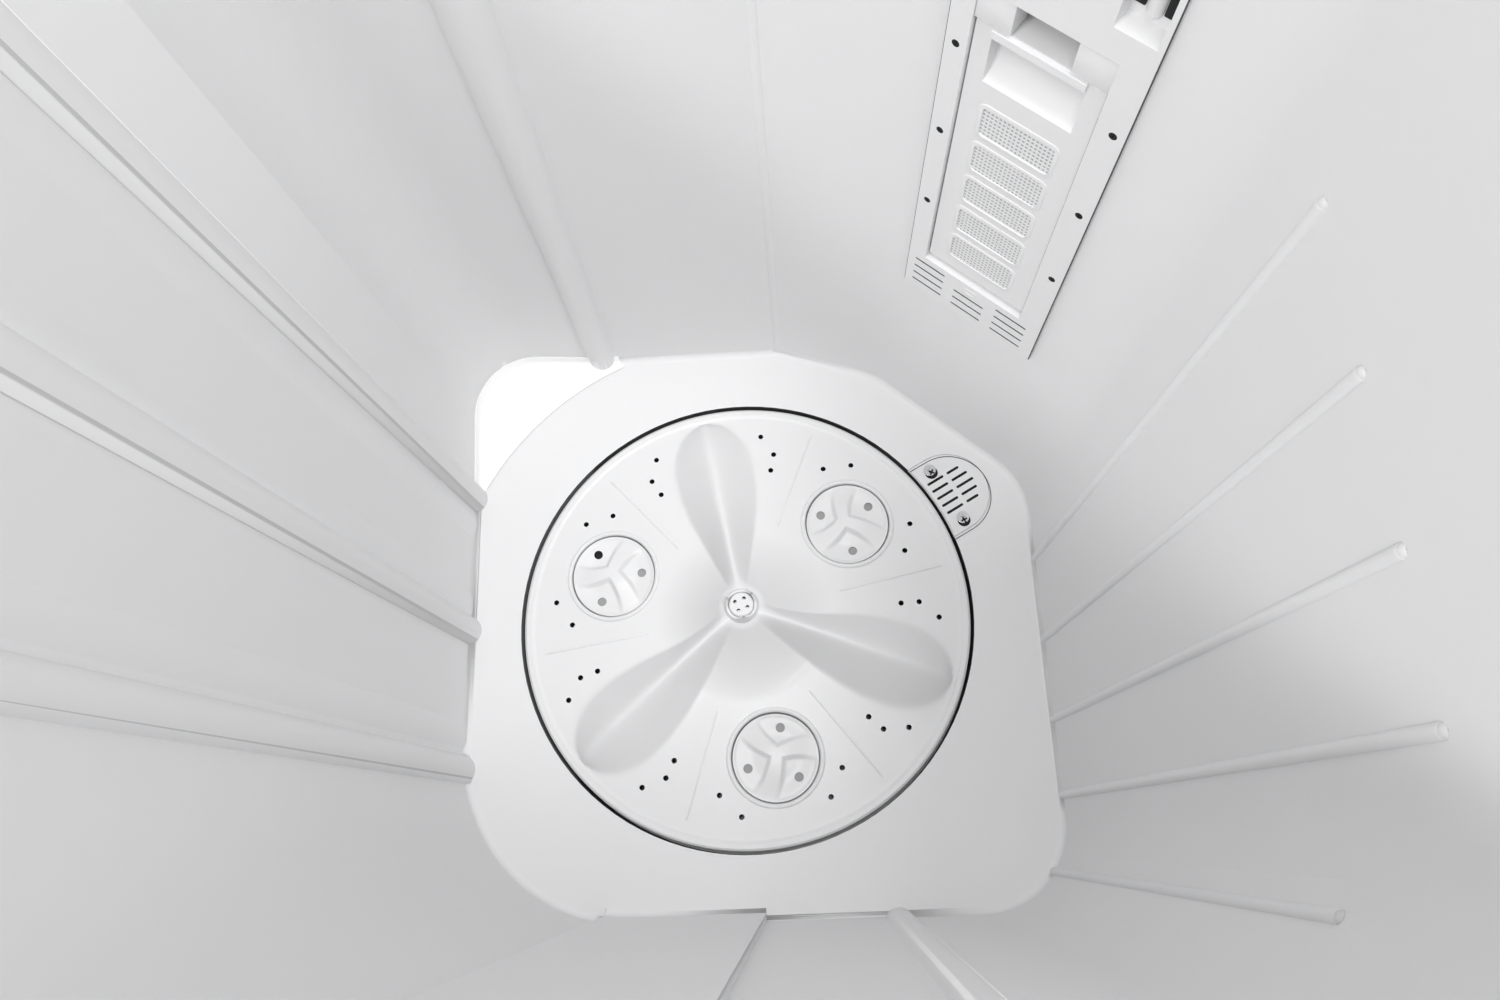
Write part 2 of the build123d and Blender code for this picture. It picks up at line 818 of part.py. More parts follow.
def pulsator_dish():
    """The round dish of the pulsator, thin walled, with its cone, hub and rim lip."""
    lip = pulsator_radius - rim_lip_width
    rest = -rim_lip_height
    bend_height = cone_foot_height + (hub_height - cone_foot_height) * cone_dip
    bend = ((hub_radius + cone_foot_radius) / 2, bend_height)
    top_line = [
        Line((0, hub_height), (hub_radius, hub_height)),
        ThreePointArc((hub_radius, hub_height), bend, (cone_foot_radius, cone_foot_height)),
        Line((cone_foot_radius, cone_foot_height), (lip - rim_lip_height, rest)),
        Line((lip - rim_lip_height, rest), (lip, 0)),
        Line((lip, 0), (pulsator_radius - rim_lip_height, 0)),
        Line((pulsator_radius - rim_lip_height, 0), (pulsator_radius, -rim_lip_height)),
        Line((pulsator_radius, -rim_lip_height), (pulsator_radius, -pulsator_skirt)),
    ]
    inner = pulsator_radius - pulsator_shell
    under = rest - pulsator_shell
    under_line = [
        Line((pulsator_radius, -pulsator_skirt), (inner, -pulsator_skirt)),
        Line((inner, -pulsator_skirt), (inner, under)),
        Line((inner, under), (cone_foot_radius, under)),
        Line((cone_foot_radius, under), (hub_boss_radius, under)),
        Line((hub_boss_radius, under), (hub_boss_radius, -hub_drop)),
        Line((hub_boss_radius, -hub_drop), (0, -hub_drop)),
        Line((0, -hub_drop), (0, hub_height)),
    ]
    return revolve(Plane.XZ * make_face(Wire(top_line + under_line)), axis=Axis.Z)


def disc_places():
    """Where the three small discs stand on the pulsator."""
    return [Rot(0, 0, disc_axis + i * 120.0) * Pos(disc_circle, 0, 0) for i in range(3)]


def make_pulsator():
    """The pulsator with its petals, disc pockets, drain holes and fine raised lines."""
    body = pulsator_dish()
    petal = make_petal()
    for i in range(3):
        body += Rot(0, 0, petal_axis + i * 120.0) * petal
    floor = -disc_pocket_depth
    lip_radius = disc_radius + disc_gap + disc_lip_width
    for place in disc_places():
        body += place * rod(0, 0, floor - pulsator_shell, disc_lip_height, lip_radius)
        body -= place * rod(0, 0, floor, hub_height, disc_radius + disc_gap)
        body -= place * rod(0, 0, floor - pulsator_shell, floor, disc_pin_radius + run_fit)
    fall = cone_foot_height + rim_lip_height
    slope = math.atan2(fall, pulsator_radius - rim_lip_width - rim_lip_height - cone_foot_radius)
    tilt = Pos(0, 0, cone_foot_height + cone_foot_radius * math.tan(slope)) * Rot(0, math.degrees(slope), 0)
    holes = []
    lines = []
    for i in range(3):
        axis = disc_axis + i * 120.0
        for side in (-1, 1):
            for reach, spread in drain_hole_places:
                x, y = polar(0, 0, reach, axis + side * spread)
                holes.append(rod(x, y, -2 * pulsator_skirt, hub_height, drain_hole_radius))
            line = block(spoke_line_start, spoke_line_end, -spoke_line_width / 2, spoke_line_width / 2,
                         -pulsator_shell, spoke_line_height)
            lines.append(Rot(0, 0, axis + side * spoke_line_angle) * tilt * line)
    for line in lines:
        body += line
    for hole in holes:
        body -= hole
    bore_top = hub_height - hub_cap_height
    body -= rod(0, 0, bore_top, hub_height, hub_cap_radius + seat_gap)
    body -= rod(0, 0, -hub_drop, shaft_reach, shaft_radius + run_fit)
    body -= rod(0, 0, -hub_drop, bore_top, hub_screw_radius)
    return Pos(wash_x, wash_y, tub_floor) * body


def make_pulsator_cap():
    """The domed cap that covers the pulsator's screw, with four small holes."""
    bottom = hub_height - hub_cap_height
    top = hub_height + hub_cap_proud
    cap = rod(0, 0, bottom + hub_screw_head_height + seat_gap, top, hub_cap_radius)
    cap = fillet(cap.faces().sort_by(Axis.Z)[-1].edges(), hub_cap_proud)
    for i in range(4):
        x, y = polar(0, 0, hub_cap_hole_circle, hub_cap_hole_turn + i * 90.0)
        cap -= rod(x, y, bottom, top, hub_cap_hole_radius)
    return Pos(wash_x, wash_y, tub_floor) * cap


def make_pulsator_screw():
    """The screw that holds the pulsator on its shaft."""
    length = hub_height - hub_cap_height - shaft_reach + hub_screw_grip
    body = screw(length, hub_screw_radius, hub_screw_head, hub_screw_head_height)
    return Pos(wash_x, wash_y, tub_floor + hub_height - hub_cap_height) * body


def make_disc(place):
    """One small free-turning disc: a low dome with three broad curved arms and three holes."""
    bottom = disc_seat - disc_pocket_depth
    top = bottom + disc_thickness
    dome_radius = (disc_radius ** 2 + disc_dome ** 2) / (2 * disc_dome)
    centre = top + disc_dome - dome_radius
    rim = rod(0, 0, bottom, top + disc_dome + disc_rib_height, disc_radius)
    body = rod(0, 0, bottom, top, disc_radius) + (rim & Pos(0, 0, centre) * Sphere(dome_radius))
    arc = ThreePointArc((0, 0), (disc_rib_reach / 2, disc_rib_bend), (disc_rib_reach, 0))
    arm = trace(arc, line_width=disc_rib_width)
    raised = rim & Pos(0, 0, centre) * Sphere(dome_radius + disc_rib_height)
    for i in range(3):
        bar = Rot(0, 0, i * 120.0) * slab(arm, bottom, rim.bounding_box().max.Z)
        body += bar & raised
    for i in range(3):
        x, y = polar(0, 0, disc_hole_circle, disc_hole_turn + i * 120.0)
        body -= rod(x, y, bottom, top + hub_height, disc_hole_radius)
    body -= rod(0, 0, bottom, bottom + disc_pin_grip, disc_pin_radius + run_fit)
    return Pos(wash_x, wash_y, tub_floor) * place * body


def make_disc_pins():
    """The pins that hold the small discs, with their heads under the pulsator."""
    pocket_bottom_face = -disc_pocket_depth - pulsator_shell
    pins = []
    for place in disc_places():
        pin = rod(0, 0, pocket_bottom_face, disc_seat - disc_pocket_depth + disc_pin_grip - seat_gap,
                  disc_pin_radius)
        pin += rod(0, 0, pocket_bottom_face - disc_pin_head_height, pocket_bottom_face, disc_pin_head)
        pins.append(Pos(wash_x, wash_y, tub_floor) * place * pin)
    return group(pins)


# Wash drive

def make_wash_shaft():
    """The shaft that carries the pulsator at its top and the large pulley at its bottom."""
    top = tub_floor + shaft_reach
    shaft = rod(wash_x, wash_y, shaft_bottom, top, shaft_radius)
    return shaft - rod(wash_x, wash_y, top - hub_screw_grip, top, hub_screw_radius)


def make_shaft_housing():
    """The flanged tube under the tub that holds the bushes."""
    housing = rod(wash_x, wash_y, pan_bottom - housing_flange, pan_bottom, housing_flange_radius)
    housing += rod(wash_x, wash_y, housing_bottom, housing_top, housing_radius)
    return housing - rod(wash_x, wash_y, housing_bottom, housing_top, housing_bore)


def make_shaft_bushes():
    """The two plain bearings of the wash shaft."""
    outer = housing_bore - run_fit
    inner = shaft_radius + run_fit
    upper = housing_top - seal_height
    low = tube(wash_x, wash_y, housing_bottom, housing_bottom + bush_length, outer, inner)
    high = tube(wash_x, wash_y, upper - bush_length, upper, outer, inner)
    return group([low, high])


def make_shaft_seal():
    """The rubber lip seal at the top of the shaft housing."""
    return tube(wash_x, wash_y, housing_top - seal_height, housing_top, housing_bore - run_fit,
                shaft_radius + run_fit)


def make_pulley(x, y, radius, bore):
    """A belt pulley with two flanges, a web and a hub."""
    top = pulley_bottom + pulley_width + 2 * pulley_flange
    middle = (pulley_bottom + top) / 2
    rim = radius - pulley_flange_height
    inner = max(rim, bore + pulley_web)
    wheel = rod(x, y, pulley_bottom, top, radius)
    for bottom in (pulley_bottom, top - pulley_flange):
        wheel += rod(x, y, bottom, bottom + pulley_flange, radius + pulley_flange_height)
    if rim > pulley_hub_radius + pulley_flange_height:
        wheel -= tube(x, y, pulley_bottom, middle - pulley_web / 2, inner, pulley_hub_radius)
        wheel -= tube(x, y, middle + pulley_web / 2, top, inner, pulley_hub_radius)
    return wheel - rod(x, y, pulley_bottom, top, bore + run_fit)


def make_wash_pulley():
    """The large pulley on the wash shaft."""
    return make_pulley(wash_x, wash_y, pulley_radius, shaft_radius)


def make_motor_pulley():
    """The small pulley on the wash motor."""
    return make_pulley(motor_x, motor_y, motor_pulley_radius, motor_shaft_radius)


def belt_loop(grow):
    """The outline of a loop around both pulleys, with the large one at the origin."""
    large = pulley_radius + grow
    small = motor_pulley_radius + grow
    lean = math.acos((large - small) / motor_distance)
    points = []
    for side in (1, -1):
        turn = side * lean
        points.append(((large * math.cos(turn), large * math.sin(turn)),
                       (motor_distance + small * math.cos(turn), small * math.sin(turn))))
    (large_left, small_left), (large_right, small_right) = points
    outline = [
        Line(large_left, small_left),
        ThreePointArc(small_left, (motor_distance + small, 0), small_right),
        Line(small_right, large_right),
        ThreePointArc(large_right, (-large, 0), large_left),
    ]
    return make_face(Wire(outline))


def make_drive_belt():
    """The belt between the wash motor and the large pulley."""
    bottom = pulley_bottom + pulley_flange + (pulley_width - belt_width) / 2
    loop = belt_loop(belt_gap + belt_thickness) - belt_loop(belt_gap)
    return Pos(wash_x, wash_y) * Rot(0, 0, motor_angle) * slab(loop, bottom, bottom + belt_width)


def motor_shell(x, y, bottom, height, shaft):
    """A round motor housing with its stator ring inside and a bearing bore at each end."""
    top = bottom + height
    shell = rod(x, y, bottom, top, motor_radius)
    shell -= rod(x, y, bottom + motor_wall, top - motor_wall, motor_radius - motor_wall)
    middle = (bottom + top) / 2
    shell += tube(x, y, middle - rotor_height / 2, middle + rotor_height / 2, motor_radius - motor_wall,
                  rotor_radius + air_gap)
    return shell - rod(x, y, bottom, top, shaft + run_fit)


def motor_rotor(x, y, bottom, height, shaft, shaft_end):
    """A rotor on its shaft."""
    middle = bottom + height / 2
    rotor = rod(x, y, middle - rotor_height / 2, middle + rotor_height / 2, rotor_radius)
    return rotor + rod(x, y, bottom, shaft_end, shaft)


def make_wash_motor():
    """The wash motor on its rubber mounts."""
    return motor_shell(motor_x, motor_y, base_floor + mount_height, motor_height, motor_shaft_radius)


def make_wash_rotor():
    """The rotor and shaft of the wash motor."""
    top = pulley_bottom + pulley_width + 2 * pulley_flange
    return motor_rotor(motor_x, motor_y, base_floor + mount_height, motor_height, motor_shaft_radius, top)


def make_motor_mounts():
    """The rubber mounts between the wash motor and the base."""
    mounts = []
    for i in range(3):
        x, y = polar(motor_x, motor_y, mount_circle, i * 120.0)
        mounts.append(rod(x, y, base_floor, base_floor + mount_height, mount_radius))
    return group(mounts)


def make_capacitor():
    """The motor capacitor, which stands on the base."""
    top = base_floor + capacitor_height
    middle = capacitor_side - width / 2
    y = capacitor_front - depth / 2
    can = rod(middle, y, base_floor, top, capacitor_radius)
    half = terminal_height / 2
    for side in (-1, 1):
        x = middle + side * terminal_height
        can += block(x - 1.0, x + 1.0, y - half, y + half, top, top + terminal_height)
    return can


# Spin side

def make_spin_housing():
    """The round outer tub of the spin side."""
    bottom = spin_floor - spin_wall
    outer = spin_housing_radius + spin_wall
    shell = rod(spin_x, spin_y, bottom, under_deck, outer)
    shell += rod(spin_x, spin_y, under_deck - spin_wall, under_deck, outer + tub_flange)
    shell -= rod(spin_x, spin_y, spin_floor, under_deck, spin_housing_radius)
    shell -= rod(spin_x, spin_y, bottom, spin_floor, seal_radius + run_fit)
    return shell - rod(spin_pipe_x, spin_pipe_y, bottom, spin_floor, pipe_bore)


def make_spin_basket():
    """The perforated basket with its rim and hub."""
    top = basket_bottom + basket_height
    inner = basket_radius - basket_wall
    basket = rod(spin_x, spin_y, basket_bottom, top, basket_radius)
    basket -= rod(spin_x, spin_y, basket_bottom + basket_floor, top, inner)
    rim_bore = basket_radius - basket_rim_width
    basket += tube(spin_x, spin_y, top - 2 * basket_wall, top, basket_radius, rim_bore)
    hub_top = basket_bottom + basket_floor + basket_hub_height
    basket += rod(spin_x, spin_y, basket_bottom, hub_top, basket_hub_radius)
    pitch = basket_height / (basket_hole_rows + 1)
    holes = []
    for row in range(basket_hole_rows):
        z = basket_bottom + (row + 1) * pitch
        for column in range(basket_hole_columns // 2):
            turn = (column + row % 2 / 2) * 360.0 / basket_hole_columns
            through = Rot(0, 0, turn) * Rot(0, 90, 0) * Cylinder(basket_hole_radius, 3 * basket_radius)
            ring = through - Cylinder(basket_hub_radius + basket_wall, basket_height)
            holes.append(Pos(spin_x, spin_y, z) * ring)
    for column in range(basket_hole_columns):
        turn = column * 360.0 / basket_hole_columns
        x, y = polar(spin_x, spin_y, (basket_hub_radius + basket_radius) / 2, turn)
        holes.append(rod(x, y, basket_bottom, basket_bottom + basket_floor, basket_hole_radius))
    basket -= [solid for hole in holes for solid in hole.solids()]
    return basket - rod(spin_x, spin_y, basket_bottom, hub_top - basket_floor, spin_shaft_radius + run_fit)


def make_spin_shaft():
    """The shaft from the brake drum up into the basket's hub."""
    top = basket_bottom + basket_hub_height
    return rod(spin_x, spin_y, drum_bottom + drum_height / 2, top, spin_shaft_radius)


def make_brake_drum():
    """The drum that couples the motor to the spin shaft and that the brake grips."""
    top = drum_bottom + drum_height
    middle = drum_bottom + drum_height / 2
    drum = rod(spin_x, spin_y, drum_bottom, top, drum_radius)
    hub = spin_shaft_radius + drum_wall
    drum -= tube(spin_x, spin_y, drum_bottom + drum_wall, top, drum_radius - drum_wall, hub)
    drum -= rod(spin_x, spin_y, middle, top, spin_shaft_radius + run_fit)
    return drum - rod(spin_x, spin_y, drum_bottom, middle, motor_shaft_radius + run_fit)


def make_bellows_seal():
    """The rubber bellows between the spin housing and the spin shaft."""
    bore = spin_shaft_radius + run_fit
    body = rod(spin_x, spin_y, spin_floor - spin_wall, spin_floor, seal_radius)
    body += rod(spin_x, spin_y, spin_floor, spin_floor + spin_wall, seal_radius + seal_lip)
    body += rod(spin_x, spin_y, spin_floor + spin_wall, basket_bottom - seal_lip, seal_neck)
    fold = seal_neck / 4
    for i in range(seal_folds):
        top = spin_floor - spin_wall - i * fold
        radius = seal_radius - seal_lip - (i % 2) * fold
        body += rod(spin_x, spin_y, top - fold, top, radius)
    bottom = spin_floor - spin_wall - seal_folds * fold
    return body - rod(spin_x, spin_y, bottom, basket_bottom, bore)


def brake_place():
    """Where the brake arm turns, beside the drum."""
    reach = drum_radius + brake_gap + brake_pad_thickness + brake_arm_width / 2
    return spin_x + reach, spin_y - brake_pivot_back


def make_spin_motor():
    """The spin motor with the plate that it hangs from and the brake's pivot pin."""
    top = spin_motor_bottom + spin_motor_height
    motor = motor_shell(spin_x, spin_y, spin_motor_bottom, spin_motor_height, motor_shaft_radius)
    plate = rod(spin_x, spin_y, top, top + plate_thickness, plate_radius)
    x, y = brake_place()
    plate += rod(x, y, top, top + plate_thickness, 2 * brake_pin_radius)
    plate += rod(x, y, top, brake_arm_bottom + brake_arm_height + plate_thickness, brake_pin_radius)
    plate += tube(x, y, top, brake_arm_bottom - seat_gap, 2 * brake_pin_radius, brake_pin_radius)
    return motor + plate - rod(spin_x, spin_y, spin_motor_bottom, top + plate_thickness,
                               motor_shaft_radius + run_fit)


def make_spin_rotor():
    """The rotor and shaft of the spin motor."""
    return motor_rotor(spin_x, spin_y, spin_motor_bottom, spin_motor_height, motor_shaft_radius,
                       drum_bottom + drum_height / 2)


def make_spring_sleeves():
    """The rubber sleeves of the three springs that carry the spin motor."""
    sleeves = []
    for i in range(3):
        x, y = polar(spin_x, spin_y, sleeve_circle, sleeve_turn + i * 120.0)
        top = spin_motor_bottom + spin_motor_height
        sleeves.append(tube(x, y, base_floor, top, sleeve_radius, sleeve_bore))
    return group(sleeves)


def make_brake_arm():
    """The arm that swings the brake pad against the drum."""
    x, y = brake_place()
    half = brake_arm_width / 2
    bottom = brake_arm_bottom
    top = bottom + brake_arm_height
    arm = block(x - half, x + half, y, y + brake_arm_length, bottom, top)
    arm += rod(x, y, bottom, top, half + brake_pin_radius / 2)
    return arm - rod(x, y, bottom, top, brake_pin_radius + run_fit)


def make_brake_pad():
    """The pad on the brake arm, clear of the drum while the lid is shut."""
    x, y = brake_place()
    inner = x - brake_arm_width / 2
    half = brake_pad_width / 2
    return block(inner - brake_pad_thickness, inner, spin_y - half, spin_y + half,
                 brake_arm_bottom, brake_arm_bottom + brake_arm_height)


# Drain

def make_drain_chamber():
    """The valve chamber under the drain grille, with its side port."""
    x, y = drain_place()
    top = tub_floor - tub_wall
    inner = chamber_radius - chamber_wall
    end = (x, y + chamber_radius + port_length, port_height)
    chamber = rod(x, y, chamber_bottom, top, chamber_radius)
    chamber += rod_between((x, y, port_height), end, pipe_radius)
    chamber -= rod(x, y, chamber_bottom + chamber_floor, top, inner)
    chamber -= rod_between((x, y, port_height), end, pipe_bore)
    chamber += tube(x, y, seat_height, seat_height + seat_thickness, inner, seat_bore)
    return chamber - rod(x, y, chamber_bottom, chamber_bottom + chamber_floor, plunger_rod_radius + run_fit)


def make_valve_plunger():
    """The drain valve's rubber plunger and its rod."""
    x, y = drain_place()
    bottom = seat_height + seat_thickness + seat_gap
    plunger = rod(x, y, bottom, bottom + plunger_thickness, plunger_radius)
    return plunger + rod(x, y, chamber_bottom - plunger_rod_drop, bottom, plunger_rod_radius)


def pipe(route, bend, radius, bore):
    """A round pipe along straight runs joined by arcs."""
    path = FilletPolyline(*route, radius=bend)
    start = Plane(origin=path @ 0, z_dir=path % 0)
    wall = sweep(start * Circle(radius), path=path) - sweep(start * Circle(bore), path=path)
    print("pipe", round(wall.volume), round(math.pi * (radius ** 2 - bore ** 2) * path.length))
    return wall


def make_drain_hose():
    """The hose from the drain valve to the outlet."""
    x, y = drain_place()
    route = [
        (x, y + chamber_radius + port_length, port_height),
        (x, spigot_start - hose_bend_drop, port_height),
        (hose_bend_x, spigot_start + port_length, (port_height + spigot_z) / 2),
        (hose_bend_x + hose_run, spigot_start + port_length, spigot_z),
        (spigot_x - pipe_radius - port_length, spigot_start + port_length, spigot_z),
    ]
    return pipe(route, pipe_bend, pipe_radius, pipe_bore)


def make_spin_drain_pipe():
    """The pipe from the spin housing down to the outlet."""
    route = [
        (spin_pipe_x, spin_pipe_y, spin_floor - spin_wall),
        (spin_pipe_x, spin_pipe_y, spigot_z),
        (spigot_x, spigot_start, spigot_z),
    ]
    return pipe(route, pipe_bend, pipe_radius, pipe_bore)


def make_outlet_spigot():
    """The outlet, which joins both drains and leaves through the back cover."""
    wall = back_face - cover_thickness - alcove_depth
    start = (spigot_x, spigot_start, spigot_z)
    end = (spigot_x, back_face - spigot_collar, spigot_z)
    side_y = spigot_start + port_length
    branch = ((spigot_x, side_y, spigot_z), (spigot_x - pipe_radius - port_length, side_y, spigot_z))
    collar = ((spigot_x, wall - 2 * spigot_collar, spigot_z), (spigot_x, wall - spigot_collar, spigot_z))
    shoulder = (spigot_x, wall + spigot_collar, spigot_z)
    spigot = rod_between(start, shoulder, spigot_radius) + rod_between(shoulder, end, spigot_end_radius)
    spigot += rod_between(*branch, pipe_radius)
    spigot += rod_between(*collar, spigot_radius + spigot_collar)
    hollow = rod_between(start, end, spigot_bore) + rod_between(*branch, pipe_bore)
    return spigot - hollow


# Console

def console_face(x):
    """A plane on the sloping face of the console, with +Z outwards."""
    rise = deck_top + console_step
    climb = console_height - console_step
    middle = (x, console_front + console_slope / 2, rise + climb / 2)
    return Plane(origin=middle, x_dir=(1, 0, 0), z_dir=(0, -climb, console_slope))


def console_profile():
    """The side view of the console."""
    top = deck_top + console_height
    corners = [
        (console_front, deck_top), (console_front, deck_top + console_step),
        (console_front + console_slope, top), (depth / 2, top), (depth / 2, deck_top),
    ]
    outline = make_face(Polyline(*corners, close=True))
    upper = outline.vertices().sort_by(Axis.Y)[-3:].sort_by(Axis.X)
    return fillet(upper[:2], console_wall)


def make_console_body():
    """The hollow console along the back of the deck."""
    side = Plane(origin=(-width / 2, 0, 0), x_dir=(0, 1, 0), z_dir=(1, 0, 0))
    profile = console_profile()
    inner = offset(profile, amount=-console_wall)
    shell = side * extrude(profile, amount=width)
    hollow = Pos(console_wall, 0, 0) * (side * extrude(inner, amount=width - 2 * console_wall))
    shell -= hollow
    shell -= block(-width / 2 + console_wall, width / 2 - console_wall, console_front + console_wall,
                   depth / 2 - console_wall, deck_top, deck_top + 2 * console_wall)
    for x in (wash_timer_x, water_x, program_x, spin_timer_x):
        shell -= console_face(x) * Cylinder(knob_stem_radius + stem_clearance, 4 * console_wall)
    return shell - rod(water_x, nozzle_y, deck_top + console_height - 2 * console_wall,
                       deck_top + 2 * console_height, nozzle_root_radius + seat_gap)


def make_console_panel():
    """The plate on the sloping face of the console, behind the knobs."""
    plate = extrude(RectangleRounded(panel_length, panel_height, panel_corner), amount=panel_thickness)
    plate = console_face(0.0) * plate
    for x in (wash_timer_x, water_x, program_x, spin_timer_x):
        plate -= console_face(x) * Cylinder(knob_stem_radius + stem_clearance, 4 * panel_thickness)
    return plate


def switch_body(x):
    """A timer or switch behind the console's face, with a socket for its knob."""
    middle = Pos(0, 0, -console_wall - timer_depth / 2)
    body = middle * Box(timer_size, timer_size, timer_depth)
    socket = Pos(0, 0, -console_wall - knob_socket_depth / 2)
    body -= socket * Cylinder(knob_stem_radius + run_fit, knob_socket_depth)
    return console_face(x) * body


def make_knob(x, turn):
    """A round knob with a grip bar and a pointer, and the stem that turns its switch."""
    foot = panel_thickness + stem_clearance
    low = knob_height - knob_grip_height
    knob = Pos(0, 0, foot + low / 2) * Cylinder(knob_radius, low)
    knob = fillet(knob.faces().sort_by(Axis.Z)[-1].edges(), knob_edge)
    grip_length = 2 * (knob_radius - knob_edge)
    bar = Pos(0, 0, foot + knob_height / 2) * Box(knob_grip_width, grip_length, knob_height)
    bar = fillet(bar.edges().filter_by(Axis.Z), knob_edge)
    stem_end = seat_gap - console_wall - knob_socket_depth
    stem = rod(0, 0, stem_end, foot, knob_stem_radius)
    return console_face(x) * Rot(0, 0, turn) * (knob + bar + stem)


def make_water_valve():
    """The water selector valve with the inlet nozzle that stands up through the console."""
    top = deck_top + console_height
    valve = switch_body(water_x)
    start = top - console_height / 3
    valve += rod(water_x, nozzle_y, start, top + nozzle_shoulder, nozzle_root_radius)
    valve += rod(water_x, nozzle_y, top, top + nozzle_height, nozzle_radius)
    return valve - rod(water_x, nozzle_y, start, top + nozzle_height, nozzle_bore)


def make_fill_pipe():
    """The pipe that brings water from the valve to the back wall of the wash tub."""
    side = water_x - timer_size / 2
    route = [
        (side, fill_back, fill_start_height),
        (fill_x, fill_back, fill_start_height),
        (fill_x, fill_back, fill_height),
        (fill_x, tub_top_back - fill_reach, fill_height),
    ]
    return pipe(route, fill_bend, fill_radius, fill_bore)


# Cabinet

def plan(inset):
    """The outline of the machine seen from above, with its front corners rounded."""
    x = width / 2 - inset
    y = depth / 2 - inset
    outline = make_face(Polyline((-x, -y), (x, -y), (x, y), (-x, y), close=True))
    return fillet(outline.vertices().sort_by(Axis.Y)[:2], corner_radius - inset)


def foot_places():
    """Where the four feet stand."""
    x = width / 2 - foot_inset
    y = depth / 2 - foot_inset
    return [(side * x, end * y) for side in (-1, 1) for end in (-1, 1)]


def make_base():
    """The base tray that carries the motors and the cabinet."""
    base = slab(plan(0.0), base_bottom, base_top) - slab(plan(base_wall), base_floor, base_top)
    for x, y in foot_places():
        base += rod(x, y, base_bottom, base_bottom + foot_pin_length + base_wall, 2 * foot_pin_radius)
        base -= rod(x, y, base_bottom, base_bottom + foot_pin_length, foot_pin_radius + run_fit)
    return base


def make_feet():
    """The four rubber feet with their pins."""
    feet = []
    for x, y in foot_places():
        foot = Pos(x, y, foot_height / 2) * Cone(foot_radius - base_wall, foot_radius, foot_height)
        pin_top = foot_height + foot_pin_length - seat_gap
        feet.append(foot + rod(x, y, foot_height, pin_top, foot_pin_radius))
    return group(feet)


def cover_screw_places():
    """Where the back cover is screwed to the cabinet: across and up."""
    x = width / 2 - cabinet_wall - flange_width / 2
    pitch = (cabinet_top - base_top) / cover_screw_rows
    heights = [base_top + (row + 0.5) * pitch for row in range(cover_screw_rows)]
    return [(side * x, height) for side in (-1, 1) for height in heights]


def make_cabinet():
    """The front and the two sides of the cabinet, with flanges for the back cover."""
    outer = width / 2 - cabinet_wall
    cover_front = back_face - cover_thickness
    cabinet = slab(plan(0.0) - plan(cabinet_wall), base_top, cabinet_top)
    cabinet -= block(-outer, outer, cover_front - cabinet_wall, depth / 2, base_top, cabinet_top)
    for side in (-1, 1):
        edges = sorted((side * outer, side * (outer - flange_width)))
        cabinet += block(*edges, cover_front - cabinet_wall, cover_front, base_top, cabinet_top)
    for x, z in cover_screw_places():
        cabinet -= rod_between((x, 0, z), (x, depth / 2, z), cover_screw_radius)
    return cabinet


def make_rear_cover():
    """The back cover with its air slots, the alcove of the outlet and the cord's gland hole."""
    outer = width / 2 - cabinet_wall - seat_gap
    front = back_face - cover_thickness
    deep = front - alcove_depth
    cover = block(-outer, outer, front, back_face, base_top, cabinet_top)
    left, right = spigot_x - alcove_width / 2, spigot_x + alcove_width / 2
    low, high = spigot_z - alcove_height / 2, spigot_z + alcove_height / 2
    wall = cover_thickness
    cover += block(left - wall, right + wall, deep - wall, front, low - wall, high + wall)
    cover -= block(left, right, deep, back_face, low, high)
    cover -= rod_between((spigot_x, 0, spigot_z), (spigot_x, depth, spigot_z), spigot_radius + run_fit)
    for x, z in cover_screw_places():
        cover -= rod_between((x, 0, z), (x, depth, z), cover_screw_radius)
    cover -= rod_between((gland_x, 0, gland_z), (gland_x, depth, gland_z), gland_radius + run_fit)
    for column in (-1, 1):
        for row in range(vent_rows):
            x = column * vent_spread
            z = vent_bottom + row * vent_pitch
            cover -= block(x - vent_length / 2, x + vent_length / 2, front, back_face, z, z + vent_width)
    return cover


def make_cover_screws():
    """The screws of the back cover."""
    body = screw(cover_screw_length, cover_screw_radius, screw_head_ratio * cover_screw_radius, cover_inset)
    seat = [Plane(origin=(x, back_face, z), z_dir=(0, 1, 0)) for x, z in cover_screw_places()]
    return group([plane * body for plane in seat])


def make_cord_gland():
    """The gland where the power lead enters; the lead itself is left out."""
    seat = Plane(origin=(gland_x, back_face, gland_z), z_dir=(0, 1, 0))
    body = Pos(0, 0, cover_inset - gland_length / 2) * Cylinder(gland_radius, gland_length)
    body += Pos(0, 0, cover_inset / 2) * Cylinder(gland_flange, cover_inset)
    return seat * (body - Cylinder(gland_bore, 3 * gland_length))


def lid_spans():
    """The left and right edges of the wash lid and of the spin lid."""
    side = width / 2 - lid_side
    half = lid_middle_gap / 2
    return (-side, lid_split - half), (lid_split + half, side)


def knuckle_places():
    """The middle of each hinge knuckle along the hinge line, two for each lid."""
    return [x for left, right in lid_spans() for x in (left + knuckle_inset, right - knuckle_inset)]


